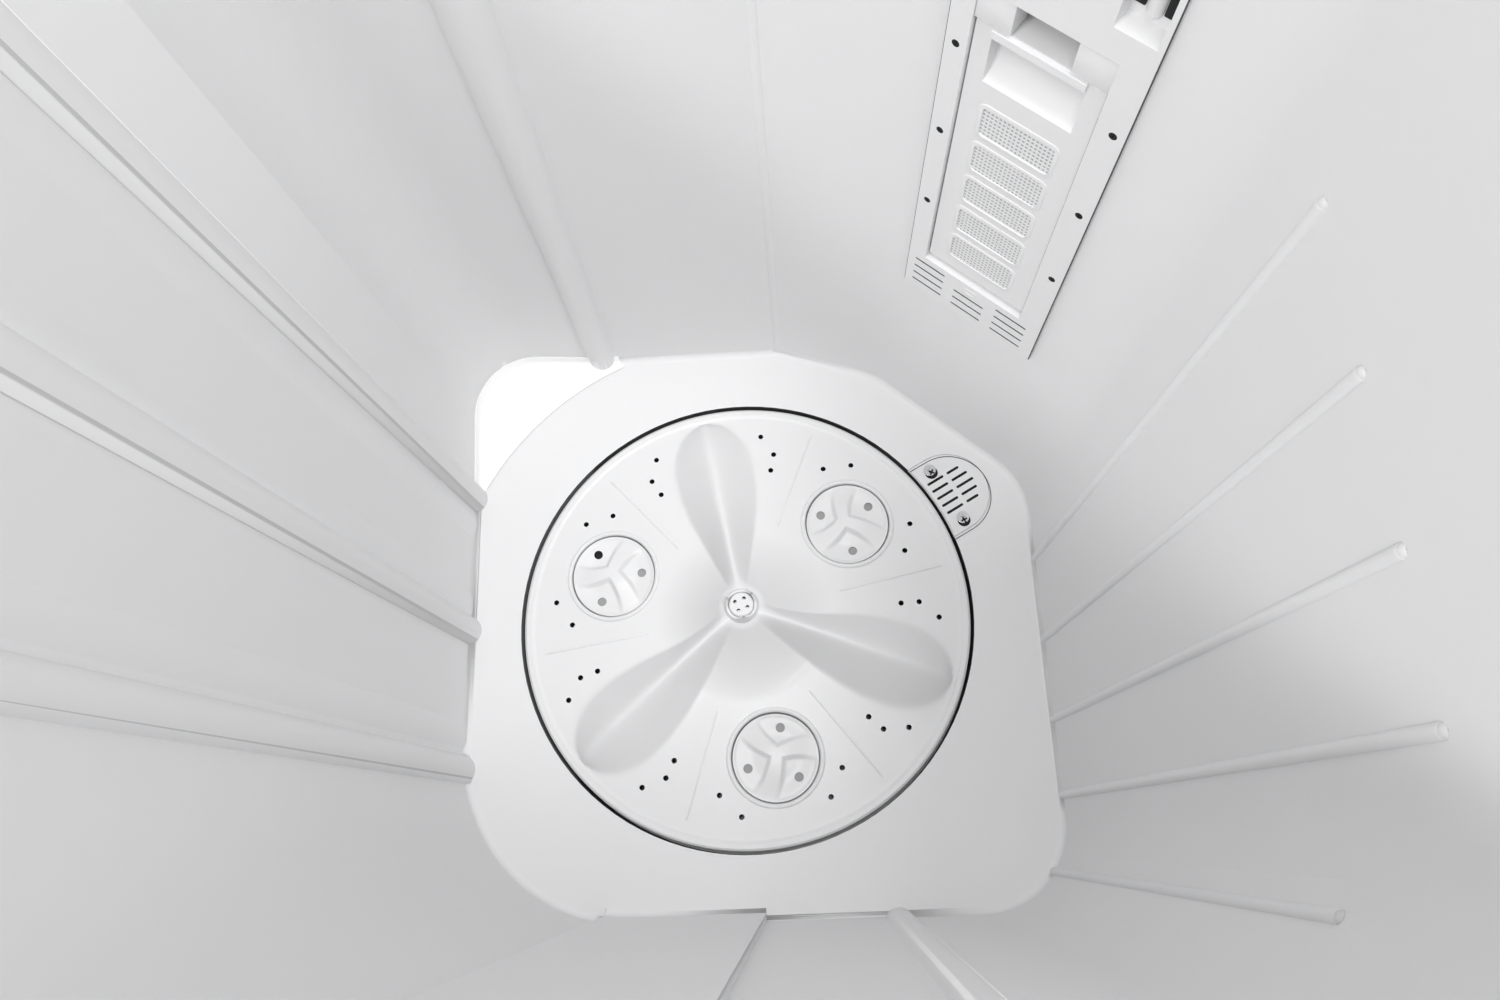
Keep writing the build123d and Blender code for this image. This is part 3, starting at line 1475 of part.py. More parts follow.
def make_top_deck():
    """The deck with both tub openings, its skirt and the hinge ears."""
    deck = slab(plan(0.0), cabinet_top, deck_top) - slab(plan(deck_skirt_wall), cabinet_top, under_deck)
    deck -= slab(tub_outline(tub_top_right - tub_right), under_deck, deck_top)
    deck += tube(spin_x, spin_y, under_deck - collar_drop, under_deck, spin_opening_radius + spin_wall,
                 spin_opening_radius)
    deck -= rod(spin_x, spin_y, under_deck, deck_top, spin_opening_radius)
    deck -= rod(fill_x, fill_back, under_deck, deck_top, fill_radius + seat_gap)
    for x in knuckle_places():
        for side in (-1, 1):
            inner = x + side * (knuckle_length / 2 + ear_gap)
            ends = sorted((inner, inner + side * ear_length))
            deck += block(*ends, hinge_y - knuckle_radius, hinge_y + knuckle_radius, under_deck, hinge_z)
            deck += rod_between((ends[0], hinge_y, hinge_z), (ends[1], hinge_y, hinge_z), knuckle_radius)
        reach = knuckle_length / 2 + ear_gap + ear_length
        deck -= rod_between((x - reach, hinge_y, hinge_z), (x + reach, hinge_y, hinge_z), lid_pin_radius)
    return deck


def make_hinge_pins():
    """The four pins of the lids, held in the ears of the deck."""
    reach = knuckle_length / 2 + ear_gap + ear_length
    return group([rod_between((x - reach, hinge_y, hinge_z), (x + reach, hinge_y, hinge_z), lid_pin_radius)
                  for x in knuckle_places()])


def make_lid(span, places):
    """A lid drawn shut, hollow underneath, with its knuckles and front grip."""
    left, right = span
    bottom = deck_top + seat_gap
    top = bottom + lid_height
    back = hinge_y - lid_rear_gap
    lid = rounded_slab(left, right, lid_front, back, bottom, top, lid_corner)
    inner = lid_thickness
    lid -= rounded_slab(left + inner, right - inner, lid_front + inner, back - inner, bottom, top - inner,
                        lid_corner - inner)
    middle = (left + right) / 2
    lid += block(middle - grip_width / 2, middle + grip_width / 2, lid_front - grip_depth, lid_front + inner,
                 top - grip_height, top)
    for x in places:
        half = knuckle_length / 2
        ends = ((x - half, hinge_y, hinge_z), (x + half, hinge_y, hinge_z))
        arm = knuckle_radius / 2
        lid += block(x - half, x + half, back - inner, hinge_y, hinge_z - arm, hinge_z + arm)
        lid += rod_between(*ends, knuckle_radius)
        lid -= rod_between(*ends, lid_pin_radius + run_fit)
    return lid


def make_wash_lid():
    """The lid of the wash tub, standing open."""
    lid = make_lid(lid_spans()[0], knuckle_places()[:2])
    return lid.rotate(Axis((0, hinge_y, hinge_z), (1, 0, 0)), -wash_lid_open)


def make_spin_lid():
    """The lid of the spin tub, shut."""
    return make_lid(lid_spans()[1], knuckle_places()[2:])


def nodes():
    """Every piece of the machine by its name."""
    pieces = {
        "base": make_base, "feet": make_feet, "cabinet": make_cabinet, "rear_cover": make_rear_cover,
        "cover_screws": make_cover_screws, "cord_gland": make_cord_gland, "top_deck": make_top_deck,
        "hinge_pins": make_hinge_pins, "wash_lid": make_wash_lid, "spin_lid": make_spin_lid,
        "wash_tub": make_wash_tub, "drain_grille": make_drain_grille, "tub_screws": make_tub_screws,
        "filter_frame": make_filter_frame, "lint_filter": make_lint_filter, "filter_mesh": make_filter_mesh,
        "pulsator": make_pulsator, "pulsator_cap": make_pulsator_cap, "pulsator_screw": make_pulsator_screw,
        "disc_pins": make_disc_pins, "wash_shaft": make_wash_shaft, "shaft_housing": make_shaft_housing,
        "shaft_bushes": make_shaft_bushes, "shaft_seal": make_shaft_seal, "wash_pulley": make_wash_pulley,
        "motor_pulley": make_motor_pulley, "drive_belt": make_drive_belt, "wash_motor": make_wash_motor,
        "wash_rotor": make_wash_rotor, "motor_mounts": make_motor_mounts, "capacitor": make_capacitor,
        "spin_housing": make_spin_housing, "spin_basket": make_spin_basket, "spin_shaft": make_spin_shaft,
        "brake_drum": make_brake_drum, "bellows_seal": make_bellows_seal, "spin_motor": make_spin_motor,
        "spin_rotor": make_spin_rotor, "spring_sleeves": make_spring_sleeves, "brake_arm": make_brake_arm,
        "brake_pad": make_brake_pad, "drain_chamber": make_drain_chamber, "valve_plunger": make_valve_plunger,
        "drain_hose": make_drain_hose, "spin_drain_pipe": make_spin_drain_pipe,
        "outlet_spigot": make_outlet_spigot, "console_body": make_console_body,
        "console_panel": make_console_panel, "water_valve": make_water_valve, "fill_pipe": make_fill_pipe,
    }
    made = {name: maker() for name, maker in pieces.items()}
    for i, place in enumerate(disc_places()):
        made["small_disc_" + str(i + 1)] = make_disc(place * Rot(0, 0, disc_turns[i]))
    switches = {"wash_timer": wash_timer_x, "program_switch": program_x, "spin_timer": spin_timer_x}
    for name, x in switches.items():
        made[name] = switch_body(x)
    knobs = {"wash_timer_knob": wash_timer_x, "water_knob": water_x, "program_knob": program_x,
             "spin_timer_knob": spin_timer_x}
    for name, x in knobs.items():
        made[name] = make_knob(x, 0.0)
    return made


def main():
    """Write every piece."""
    for name, shape in nodes().items():
        write(shape, name)


if __name__ == "__main__":
    main()
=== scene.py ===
"""Looks of the twin-tub washing machine, laid out as a Blender add-on."""

import json
import math

import bpy
from mathutils import Matrix, Vector


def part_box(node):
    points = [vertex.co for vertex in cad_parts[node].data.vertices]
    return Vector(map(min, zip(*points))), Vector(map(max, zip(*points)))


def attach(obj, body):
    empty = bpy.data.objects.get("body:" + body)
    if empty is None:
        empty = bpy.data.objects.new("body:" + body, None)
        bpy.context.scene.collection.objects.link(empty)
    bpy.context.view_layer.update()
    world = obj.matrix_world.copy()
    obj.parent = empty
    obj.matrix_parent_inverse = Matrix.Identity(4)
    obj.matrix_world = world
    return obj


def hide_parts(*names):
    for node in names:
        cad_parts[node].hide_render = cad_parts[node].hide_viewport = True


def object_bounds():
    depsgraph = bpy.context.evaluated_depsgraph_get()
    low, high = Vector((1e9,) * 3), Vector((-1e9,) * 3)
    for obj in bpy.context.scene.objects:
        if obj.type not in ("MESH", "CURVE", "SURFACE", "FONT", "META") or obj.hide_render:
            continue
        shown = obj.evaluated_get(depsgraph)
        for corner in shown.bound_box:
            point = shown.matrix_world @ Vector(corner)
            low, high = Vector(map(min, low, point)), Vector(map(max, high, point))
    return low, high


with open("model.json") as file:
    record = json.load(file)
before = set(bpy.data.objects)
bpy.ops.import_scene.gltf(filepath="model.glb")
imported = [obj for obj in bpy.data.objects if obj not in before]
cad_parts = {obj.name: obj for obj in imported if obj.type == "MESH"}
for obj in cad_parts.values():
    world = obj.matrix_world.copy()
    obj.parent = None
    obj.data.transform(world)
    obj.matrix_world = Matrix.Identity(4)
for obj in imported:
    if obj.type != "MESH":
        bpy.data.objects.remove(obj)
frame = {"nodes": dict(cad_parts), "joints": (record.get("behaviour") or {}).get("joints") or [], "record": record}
cad_low, cad_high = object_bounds()
bodies = frame["record"]["behaviour"]["bodies"]
slots = {part["node"]: part["material_slot"] for part in frame["record"]["subparts"]}
joints = {joint["name"]: joint for joint in frame["joints"]}


def middle_of(node):
    """The middle of a CAD node's box."""
    low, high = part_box(node)
    return (low + high) / 2.0


tub_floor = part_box("drain_grille")[1].z
wash_axis = middle_of("wash_shaft")
disc_centres = [middle_of("small_disc_" + str(i)) for i in (1, 2, 3)]
drain_way = middle_of("drain_grille") - wash_axis
drain_turn = math.atan2(drain_way.y, drain_way.x)

# Distances from the pulsator's axis towards the drain, and of its screws to either side of that line
grille_reach = 0.1743
shade_plate_reach = 0.1812
screw_reach = 0.1728
screw_spread = 0.0214

# Holes of the pulsator: distance from its axis, and degrees either side of each small disc
drain_hole_places = ((0.1118, 38.0), (0.1247, 38.0), (0.125, 20.1), (0.138, 13.0), (0.138, 43.0))
pulsator_slope = math.radians(2.95)

# Mesh points nearer to each other than this become one
weld = 0.00001

bl_info = {
    "name": "Twin Tub Washing Machine",
    "version": (1, 0, 0),
    "blender": (4, 5, 0),
    "location": "View3D > Sidebar > Washer",
    "description": "Finishes, detail and studio for a twin-tub washing machine",
    "category": "Object",
}


class WasherColours(bpy.types.PropertyGroup):
    """The colours of the machine."""

    tub: bpy.props.FloatVectorProperty(
        name="Tub", description="Moulded plastic of the wash tub", size=3,
        default=(0.83, 0.83, 0.835), subtype="COLOR", min=0.0, max=1.0)
    pulsator: bpy.props.FloatVectorProperty(
        name="Pulsator", description="Moulded plastic of the pulsator and its discs", size=3,
        default=(0.82, 0.82, 0.825), subtype="COLOR", min=0.0, max=1.0)
    cabinet: bpy.props.FloatVectorProperty(
        name="Cabinet", description="Panels, deck and lids", size=3,
        default=(0.62, 0.62, 0.615), subtype="COLOR", min=0.0, max=1.0)
    base: bpy.props.FloatVectorProperty(
        name="Base", description="Tray under the machine", size=3,
        default=(0.33, 0.34, 0.35), subtype="COLOR", min=0.0, max=1.0)
    panel: bpy.props.FloatVectorProperty(
        name="Control panel", description="Plate behind the knobs", size=3,
        default=(0.52, 0.54, 0.56), subtype="COLOR", min=0.0, max=1.0)
    metal: bpy.props.FloatVectorProperty(
        name="Metal", description="Plated screws, pins and shafts", size=3,
        default=(0.55, 0.55, 0.56), subtype="COLOR", min=0.0, max=1.0)
    rubber: bpy.props.FloatVectorProperty(
        name="Rubber", description="Feet, seals and belt", size=3,
        default=(0.03, 0.03, 0.032), subtype="COLOR", min=0.0, max=1.0)


class WasherSizes(bpy.types.PropertyGroup):
    """Sizes of the small trim."""

    drain_hole: bpy.props.FloatProperty(
        name="Drain hole", description="Radius of the small holes in the pulsator",
        default=0.0019, unit="LENGTH", min=0.0005, max=0.003)
    number: bpy.props.FloatProperty(
        name="Numbers", description="Height of the numbers at the timer knobs",
        default=0.0058, unit="LENGTH", min=0.003, max=0.007)
    cabinet_groove: bpy.props.FloatProperty(
        name="Cabinet groove", description="Depth of the grooves in the cabinet's front and sides",
        default=0.0012, unit="LENGTH", min=0.0002, max=0.0015)
    lid_groove: bpy.props.FloatProperty(
        name="Lid groove", description="Depth of the groove round the top of each lid",
        default=0.0007, unit="LENGTH", min=0.0002, max=0.001)


class WasherStudio(bpy.types.PropertyGroup):
    """Where the camera stands and how the machine is lit."""

    lens: bpy.props.FloatProperty(
        name="Lens", description="Focal length on a 36 mm sensor, in millimetres", default=25.4,
        unit="CAMERA")
    camera_place: bpy.props.FloatVectorProperty(
        name="Camera place", description="Where the camera hangs over the wash tub", size=3,
        default=(-0.1631, -0.2065, 1.0571), unit="LENGTH", subtype="TRANSLATION")
    camera_turn: bpy.props.FloatVectorProperty(
        name="Camera turn", size=3,
        description="Axis of the camera's turn away from straight down, as long as the turn",
        default=(-0.3094, 0.0537, -0.0412), unit="ROTATION")
    lamp_height: bpy.props.FloatProperty(
        name="Lamp height", description="Height of the lamps over the floor", default=2.8, unit="LENGTH")
    lamp_size: bpy.props.FloatProperty(
        name="Lamp size", description="Length of each side of a square lamp", default=0.48, unit="LENGTH")
    floor: bpy.props.FloatVectorProperty(
        name="Floor", description="Colour of the studio floor", size=3,
        default=(0.84, 0.84, 0.84), subtype="COLOR", min=0.0, max=1.0)
    sky: bpy.props.FloatProperty(
        name="Sky", description="Strength of the even light from all round", default=0.57,
        subtype="FACTOR", min=0.0, soft_max=2.0)
    key: bpy.props.FloatProperty(
        name="Key lamp", description="Power of the lamp over the left front corner, in watts",
        default=26.5, unit="POWER", min=0.0)
    side: bpy.props.FloatProperty(
        name="Side lamp", description="Power of the lamp over the spin tub, in watts",
        default=15.0, unit="POWER", min=0.0)
    down: bpy.props.FloatProperty(
        name="Floor lamp", description="Power of the lamp straight over the pulsator, in watts",
        default=4.0, unit="POWER", min=0.0)
    fill: bpy.props.FloatProperty(
        name="Fill lamps", description="Power of each of the four lamps over the wash tub, in watts",
        default=7.4, unit="POWER", min=0.0)


def socket_set(node, **values):
    """Set inputs of a node by name, with spaces for underscores."""
    for name, value in values.items():
        node.inputs[name.replace("_", " ")].default_value = value
    return node


def add_maths(nodes, operation, kind="ShaderNodeMath"):
    """A node that does one sum."""
    node = nodes.new(kind)
    node.operation = operation
    return node


def moulded_skin():
    """The shared effect of moulded plastic: a faint change of tone and a fine grain."""
    found = bpy.data.node_groups.get("moulded_skin")
    if found:
        return found
    group = bpy.data.node_groups.new("moulded_skin", "ShaderNodeTree")
    inputs = (("Colour", "NodeSocketColor", (0.8, 0.8, 0.8, 1.0)), ("Tone", "NodeSocketFloat", 0.03),
              ("Grain", "NodeSocketFloat", 900.0), ("Wave", "NodeSocketFloat", 0.3))
    for name, kind, value in inputs:
        made = group.interface.new_socket(name=name, in_out="INPUT", socket_type=kind)
        made.default_value = value
    group.interface.new_socket(name="Colour", in_out="OUTPUT", socket_type="NodeSocketColor")
    group.interface.new_socket(name="Height", in_out="OUTPUT", socket_type="NodeSocketFloat")
    nodes, links = group.nodes, group.links
    source, out = nodes.new("NodeGroupInput"), nodes.new("NodeGroupOutput")
    place = nodes.new("ShaderNodeTexCoord")
    cloud = socket_set(nodes.new("ShaderNodeTexNoise"), Scale=4.0, Detail=2.0)
    grain = socket_set(nodes.new("ShaderNodeTexNoise"), Detail=2.0)
    wave = socket_set(nodes.new("ShaderNodeTexNoise"), Scale=11.0, Detail=1.0)
    for texture in (cloud, grain, wave):
        links.new(place.outputs["Object"], texture.inputs["Vector"])
    links.new(source.outputs["Grain"], grain.inputs["Scale"])
    dark = add_maths(nodes, "MULTIPLY")
    links.new(cloud.outputs["Fac"], dark.inputs[0])
    links.new(source.outputs["Tone"], dark.inputs[1])
    shade = nodes.new("ShaderNodeMix")
    shade.data_type = "RGBA"
    shade.blend_type = "MULTIPLY"
    shade.inputs["B"].default_value = (0.0, 0.0, 0.0, 1.0)
    links.new(dark.outputs[0], shade.inputs["Factor"])
    links.new(source.outputs["Colour"], shade.inputs["A"])
    links.new(shade.outputs["Result"], out.inputs["Colour"])
    swell = add_maths(nodes, "MULTIPLY")
    links.new(wave.outputs["Fac"], swell.inputs[0])
    links.new(source.outputs["Wave"], swell.inputs[1])
    both = add_maths(nodes, "MULTIPLY_ADD")
    grain_share = 0.04
    both.inputs[1].default_value = grain_share
    links.new(grain.outputs["Fac"], both.inputs[0])
    links.new(swell.outputs[0], both.inputs[2])
    links.new(both.outputs[0], out.inputs["Height"])
    return group


def finish(name, colour, roughness, metallic=0.0, coat=0.0, tone=0.03, grain=900.0, wave=0.3, depth=0.0003):
    """A material with the shared skin over one colour: how dull, how metallic and how lacquered it is.

    Tone is the share by which it darkens in patches, grain the fineness of its grain, wave the strength of
    its slow swell, and depth the height of both in metres.
    """
    found = bpy.data.materials.get(name)
    if found:
        return found
    material = bpy.data.materials.new(name)
    material.use_nodes = True
    nodes, links = material.node_tree.nodes, material.node_tree.links
    shader = nodes["Principled BSDF"]
    shader.inputs["Roughness"].default_value = roughness
    shader.inputs["Metallic"].default_value = metallic
    shader.inputs["Coat Weight"].default_value = coat
    shader.inputs["Coat Roughness"].default_value = 0.12
    skin = nodes.new("ShaderNodeGroup")
    skin.node_tree = moulded_skin()
    socket_set(skin, Colour=(*colour, 1.0), Tone=tone, Grain=grain, Wave=wave)
    bump = nodes.new("ShaderNodeBump")
    bump.inputs["Distance"].default_value = depth
    bump.inputs["Strength"].default_value = 0.6
    links.new(skin.outputs["Colour"], shader.inputs["Base Color"])
    links.new(skin.outputs["Height"], bump.inputs["Height"])
    links.new(bump.outputs["Normal"], shader.inputs["Normal"])
    return material


def tub_plastic():
    """Soft satin white of the wash tub."""
    return finish("tub_white", bpy.context.scene.washer_colours.tub, 0.6)


def pulsator_plastic():
    """Smooth, faintly glossy white of the pulsator."""
    return finish("pulsator_white", bpy.context.scene.washer_colours.pulsator, 0.42, coat=0.08, wave=0.1)


def cabinet_plastic():
    """Satin white of the cabinet, deck, lids and console."""
    return finish("cabinet_white", bpy.context.scene.washer_colours.cabinet, 0.36, coat=0.15)


def base_plastic():
    """Grey plastic of the base and the hidden mouldings."""
    return finish("base_grey", bpy.context.scene.washer_colours.base, 0.55)


def panel_plastic():
    """Grey plate behind the knobs."""
    return finish("panel_grey", bpy.context.scene.washer_colours.panel, 0.3, coat=0.3)


def plated_steel():
    """Plated steel of screws, pins and shafts."""
    return finish("plated_steel", bpy.context.scene.washer_colours.metal, 0.3, metallic=1.0, depth=0.0001)


def black_rubber():
    """Rubber of the feet, seals and belt."""
    return finish("black_rubber", bpy.context.scene.washer_colours.rubber, 0.7, grain=600.0)


def dark_paint():
    """Paint of the motors and switches."""
    return finish("dark_paint", (0.04, 0.042, 0.045), 0.45, grain=500.0)


def bronze():
    """Bronze of the bushes."""
    return finish("bronze", (0.62, 0.42, 0.2), 0.35, metallic=1.0)


def grey_hose():
    """Grey plastic of hoses and pipes."""
    return finish("hose_grey", (0.18, 0.185, 0.19), 0.5)


def hole_shadow():
    """The dark inside of small holes and slots."""
    return finish("hole_shadow", (0.012, 0.012, 0.013), 0.9, grain=500.0)


def screw_steel():
    """Dull dark steel of the drain screws."""
    return finish("screw_steel", (0.12, 0.12, 0.12), 0.5, metallic=0.3, depth=0.0001)


def slot_shadow():
    """The shade inside the slots of the filter frame."""
    return finish("slot_shadow", (0.07, 0.07, 0.071), 0.8, grain=500.0)


def rib_plastic():
    """Painted shade on the tub's ribs: the tub's plastic a shade darker than the walls, where a rib catches the
    light.
    """
    return finish("rib_painted_shade", (0.6, 0.6, 0.604), 0.75)


def corner_gloss_and_highlight():
    """The polished step in the corner of the tub, glossy and painted brighter than the tub's plastic as a painted
    highlight.
    """
    return finish("corner_gloss_and_highlight", (0.96, 0.96, 0.96), 0.3, coat=0.3, tone=0.0, wave=0.0)


def well_painted_shade():
    """Painted shade: the grey floor of the wells in the small discs, darker than the plastic because little light
    reaches it.
    """
    return finish("well_painted_shade", (0.38, 0.38, 0.385), 0.6)


def mesh_cloth():
    """White moulded mesh of the lint filter, with fine round holes in rows, painted grey as the shade seen through
    them.
    """
    found = bpy.data.materials.get("filter_mesh")
    if found:
        return found
    material = finish("filter_mesh", bpy.context.scene.washer_colours.tub, 0.5)
    nodes, links = material.node_tree.nodes, material.node_tree.links
    shader, skin = nodes["Principled BSDF"], nodes["Group"]
    place = nodes.new("ShaderNodeTexCoord")
    local = nodes.new("ShaderNodeMapping")
    local.vector_type = "TEXTURE"
    corner = filter_place()
    local.inputs["Location"].default_value = corner.translation
    local.inputs["Rotation"].default_value = corner.to_euler()
    hole_pitch = (0.0022, 0.0025, 0.0024)
    local.inputs["Scale"].default_value = hole_pitch
    cell = add_maths(nodes, "FRACTION", "ShaderNodeVectorMath")
    centred = add_maths(nodes, "SUBTRACT", "ShaderNodeVectorMath")
    centred.inputs[1].default_value = (0.5, 0.5, 0.0)
    flat = add_maths(nodes, "MULTIPLY", "ShaderNodeVectorMath")
    oval = (0.75, 1.25, 0.0)
    flat.inputs[1].default_value = oval
    reach = add_maths(nodes, "LENGTH", "ShaderNodeVectorMath")
    hole = nodes.new("ShaderNodeMapRange")
    socket_set(hole, From_Min=0.20, From_Max=0.28, To_Min=0.0, To_Max=1.0)
    links.new(place.outputs["Object"], local.inputs["Vector"])
    links.new(local.outputs["Vector"], cell.inputs[0])
    links.new(cell.outputs["Vector"], centred.inputs[0])
    links.new(centred.outputs["Vector"], flat.inputs[0])
    links.new(flat.outputs["Vector"], reach.inputs[0])
    links.new(reach.outputs["Value"], hole.inputs["Value"])
    # Painted shade: the holes are painted grey for the shade seen through them.
    shade = nodes.new("ShaderNodeMix")
    shade.data_type = "RGBA"
    hole_painted_shade = (0.36, 0.36, 0.365, 1.0)
    shade.inputs["A"].default_value = hole_painted_shade
    links.new(hole.outputs["Result"], shade.inputs["Factor"])
    links.new(skin.outputs["Colour"], shade.inputs["B"])
    links.new(shade.outputs["Result"], shader.inputs["Base Color"])
    links.new(hole.outputs["Result"], nodes["Bump"].inputs["Height"])
    return material


finishes = {
    "tub_plastic": tub_plastic, "pulsator_plastic": pulsator_plastic, "filter_plastic": tub_plastic,
    "cabinet_plastic": cabinet_plastic, "base_plastic": base_plastic, "console_plastic": cabinet_plastic,
    "panel_plastic": panel_plastic, "knob_plastic": pulsator_plastic, "lid_plastic": cabinet_plastic,
    "basket_plastic": cabinet_plastic, "mesh": mesh_cloth, "steel": plated_steel, "screw_steel": plated_steel,
    "motor_paint": dark_paint, "bronze": bronze, "black_rubber": black_rubber, "grey_hose": grey_hose,
    "capacitor_plastic": cabinet_plastic, "switch_plastic": dark_paint, "pulley_metal": plated_steel,
}


def unpick():
    """Leave nothing selected."""
    bpy.ops.object.select_all(action="DESELECT")


def pick(piece):
    """Make a piece the active one, and the only one selected."""
    unpick()
    piece.select_set(True)
    bpy.context.view_layer.objects.active = piece


def edit_mode():
    """Go into edit mode, with the selection as it was."""
    bpy.ops.object.mode_set(mode="EDIT")


def edit_all():
    """Go into edit mode with all of the piece selected."""
    edit_mode()
    bpy.ops.mesh.select_all(action="SELECT")


def object_mode():
    """Leave edit mode."""
    bpy.ops.object.mode_set(mode="OBJECT")


def clothe(piece, material):
    """Give a piece one material."""
    piece.data.materials.clear()
    piece.data.materials.append(material)


def body_name(node):
    """The body that a node rides on."""
    return next(name for name, members in bodies.items() if node in members)


def soft_copy(node, edge=0.0, segments=2, angle=30.0):
    """A smooth copy of a CAD node with softened edges, which is shown in its place."""
    pick(frame["nodes"][node])
    bpy.ops.object.duplicate()
    piece = bpy.context.object
    piece.parent = None
    for mark in [mark for mark in piece.keys() if mark.startswith("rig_")]:
        del piece[mark]
    piece.name = node + "_dressed"
    edit_all()
    bpy.ops.mesh.remove_doubles(threshold=weld)
    flat_enough = math.radians(0.4)
    bpy.ops.mesh.dissolve_limited(angle_limit=flat_enough)
    object_mode()
    if edge:
        round_off = piece.modifiers.new("edges", "BEVEL")
        round_off.width = edge
        round_off.segments = segments
        round_off.limit_method = "ANGLE"
        round_off.angle_limit = math.radians(angle)
        round_off.miter_outer = "MITER_ARC"
        bpy.ops.object.modifier_apply(modifier="edges")
    bpy.ops.object.shade_smooth_by_angle(angle=math.radians(angle))
    even = piece.modifiers.new("even", "WEIGHTED_NORMAL")
    even.keep_sharp = True
    bpy.ops.object.modifier_apply(modifier="even")
    clothe(piece, finishes[slots[node]]())
    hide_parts(node)
    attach(piece, body_name(node))
    return piece


def pick_edges(piece, test):
    """Go into edit mode with only those edges selected whose two ends pass a test."""
    bpy.context.view_layer.objects.active = piece
    edit_mode()
    bpy.ops.mesh.select_mode(type="EDGE")
    bpy.ops.mesh.select_all(action="DESELECT")
    object_mode()
    spots = [corner.co for corner in piece.data.vertices]
    for edge in piece.data.edges:
        edge.select = test(spots[edge.vertices[0]], spots[edge.vertices[1]])
    edit_mode()


def bar(name, size, edge=0.0, segments=2):
    """A bar in the middle of the frame with rounded edges."""
    unpick()
    bpy.ops.mesh.primitive_cube_add(size=1.0)
    piece = bpy.context.object
    piece.name = name
    piece.scale = size
    bpy.ops.object.transform_apply(scale=True)
    if edge:
        edit_all()
        bpy.ops.mesh.bevel(offset=edge, segments=segments, affect="EDGES")
        object_mode()
    return piece


def round_bar(name, radius, height, edge=0.0, sides=32):
    """A short round bar standing in the middle of the frame, with its upper edge rounded."""
    unpick()
    bpy.ops.mesh.primitive_cylinder_add(vertices=sides, radius=radius, depth=height)
    piece = bpy.context.object
    piece.name = name
    if edge:
        top = height / 2 - edge / 4
        pick_edges(piece, lambda a, b: a.z > top and b.z > top)
        bpy.ops.mesh.bevel(offset=edge, segments=3, affect="EDGES")
        object_mode()
    return piece


def put(piece, place):
    """Move a piece's mesh by a matrix, so that its object stays at the origin."""
    piece.matrix_world = place
    pick(piece)
    bpy.ops.object.transform_apply(location=True, rotation=True, scale=True)
    return piece


def copy_of(piece, place):
    """A copy of a piece, with its own mesh, moved by a matrix."""
    pick(piece)
    bpy.ops.object.duplicate()
    return put(bpy.context.object, place)


def drop(piece):
    """Take away a pattern piece that has been copied."""
    pick(piece)
    bpy.ops.object.delete()


def repeat(pattern, places):
    """Copies of a pattern at each place, in the pattern's stead."""
    pieces = [copy_of(pattern, place) for place in places]
    drop(pattern)
    return pieces


def join(name, pieces):
    """Join pieces into one."""
    unpick()
    for piece in pieces:
        piece.select_set(True)
    bpy.context.view_layer.objects.active = pieces[0]
    if len(pieces) > 1:
        bpy.ops.object.join()
    joined = bpy.context.object
    joined.name = name
    return joined


def cut(piece, cutter, operation="DIFFERENCE"):
    """Cut one piece with another, which is taken away; the cut takes the cutter's material."""
    change = piece.modifiers.new("cut", "BOOLEAN")
    change.object = cutter
    change.operation = operation
    change.solver = "MANIFOLD"
    change.material_mode = "TRANSFER"
    pick(piece)
    bpy.ops.object.modifier_apply(modifier="cut")
    drop(cutter)
    return piece


def turned(name, profile, steps, lift):
    """A closed ring turned from a profile of (radius, height) about the upright axis.

    Points of the profile at height 0 are raised afterwards, each to the height that a formula gives it.
    """
    unpick()
    bpy.ops.mesh.primitive_plane_add(size=1.0)
    piece = bpy.context.object
    piece.name = name
    edit_mode()
    bpy.ops.mesh.select_mode(type="VERT")
    bpy.ops.mesh.select_all(action="SELECT")
    bpy.ops.mesh.delete(type="ONLY_FACE")
    bpy.ops.mesh.select_all(action="SELECT")
    bpy.ops.mesh.merge(type="CENTER")
    bpy.ops.transform.translate(value=(profile[0][0], 0.0, profile[0][1]))
    for (r0, z0), (r1, z1) in zip(profile, profile[1:]):
        bpy.ops.mesh.extrude_region_move(TRANSFORM_OT_translate={"value": (r1 - r0, 0.0, z1 - z0)})
    bpy.ops.mesh.select_all(action="SELECT")
    bpy.ops.mesh.spin(steps=steps, angle=math.tau, axis=(0.0, 0.0, 1.0), center=(0.0, 0.0, 0.0))
    bpy.ops.mesh.select_all(action="SELECT")
    bpy.ops.mesh.remove_doubles(threshold=weld)
    bpy.ops.mesh.normals_make_consistent(inside=False)
    object_mode()
    for corner in piece.data.vertices:
        if abs(corner.co.z) < weld:
            corner.co.z = lift(corner.co)
    return piece


def hoop(radius, thickness, sides, section_sides):
    """A ring of round section, lying in the middle of the frame."""
    bpy.ops.mesh.primitive_torus_add(major_radius=radius, minor_radius=thickness, major_segments=sides,
                                     minor_segments=section_sides)
    return bpy.context.object


def outline(name, width, height, thickness, corner, rim):
    """A flat frame with round corners, in the middle of the frame."""
    outer = rounded_plate(name, width, height, thickness, corner)
    inner = rounded_plate("inner", width - 2.0 * rim, height - 2.0 * rim, 3.0 * thickness, corner - rim)
    return cut(outer, inner)


def settle(piece, material, body, angle=30.0):
    """Finish a new piece: smooth it, and give it its material and body."""
    pick(piece)
    bpy.ops.object.shade_smooth_by_angle(angle=math.radians(angle))
    if material:
        clothe(piece, material)
    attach(piece, body)
    return piece


def paint(piece, material, test):
    """Give a second material to the faces that pass a test."""
    piece.data.materials.append(material)
    index = len(piece.data.materials) - 1
    for face in piece.data.polygons:
        if test(face.center, face.normal):
            face.material_index = index


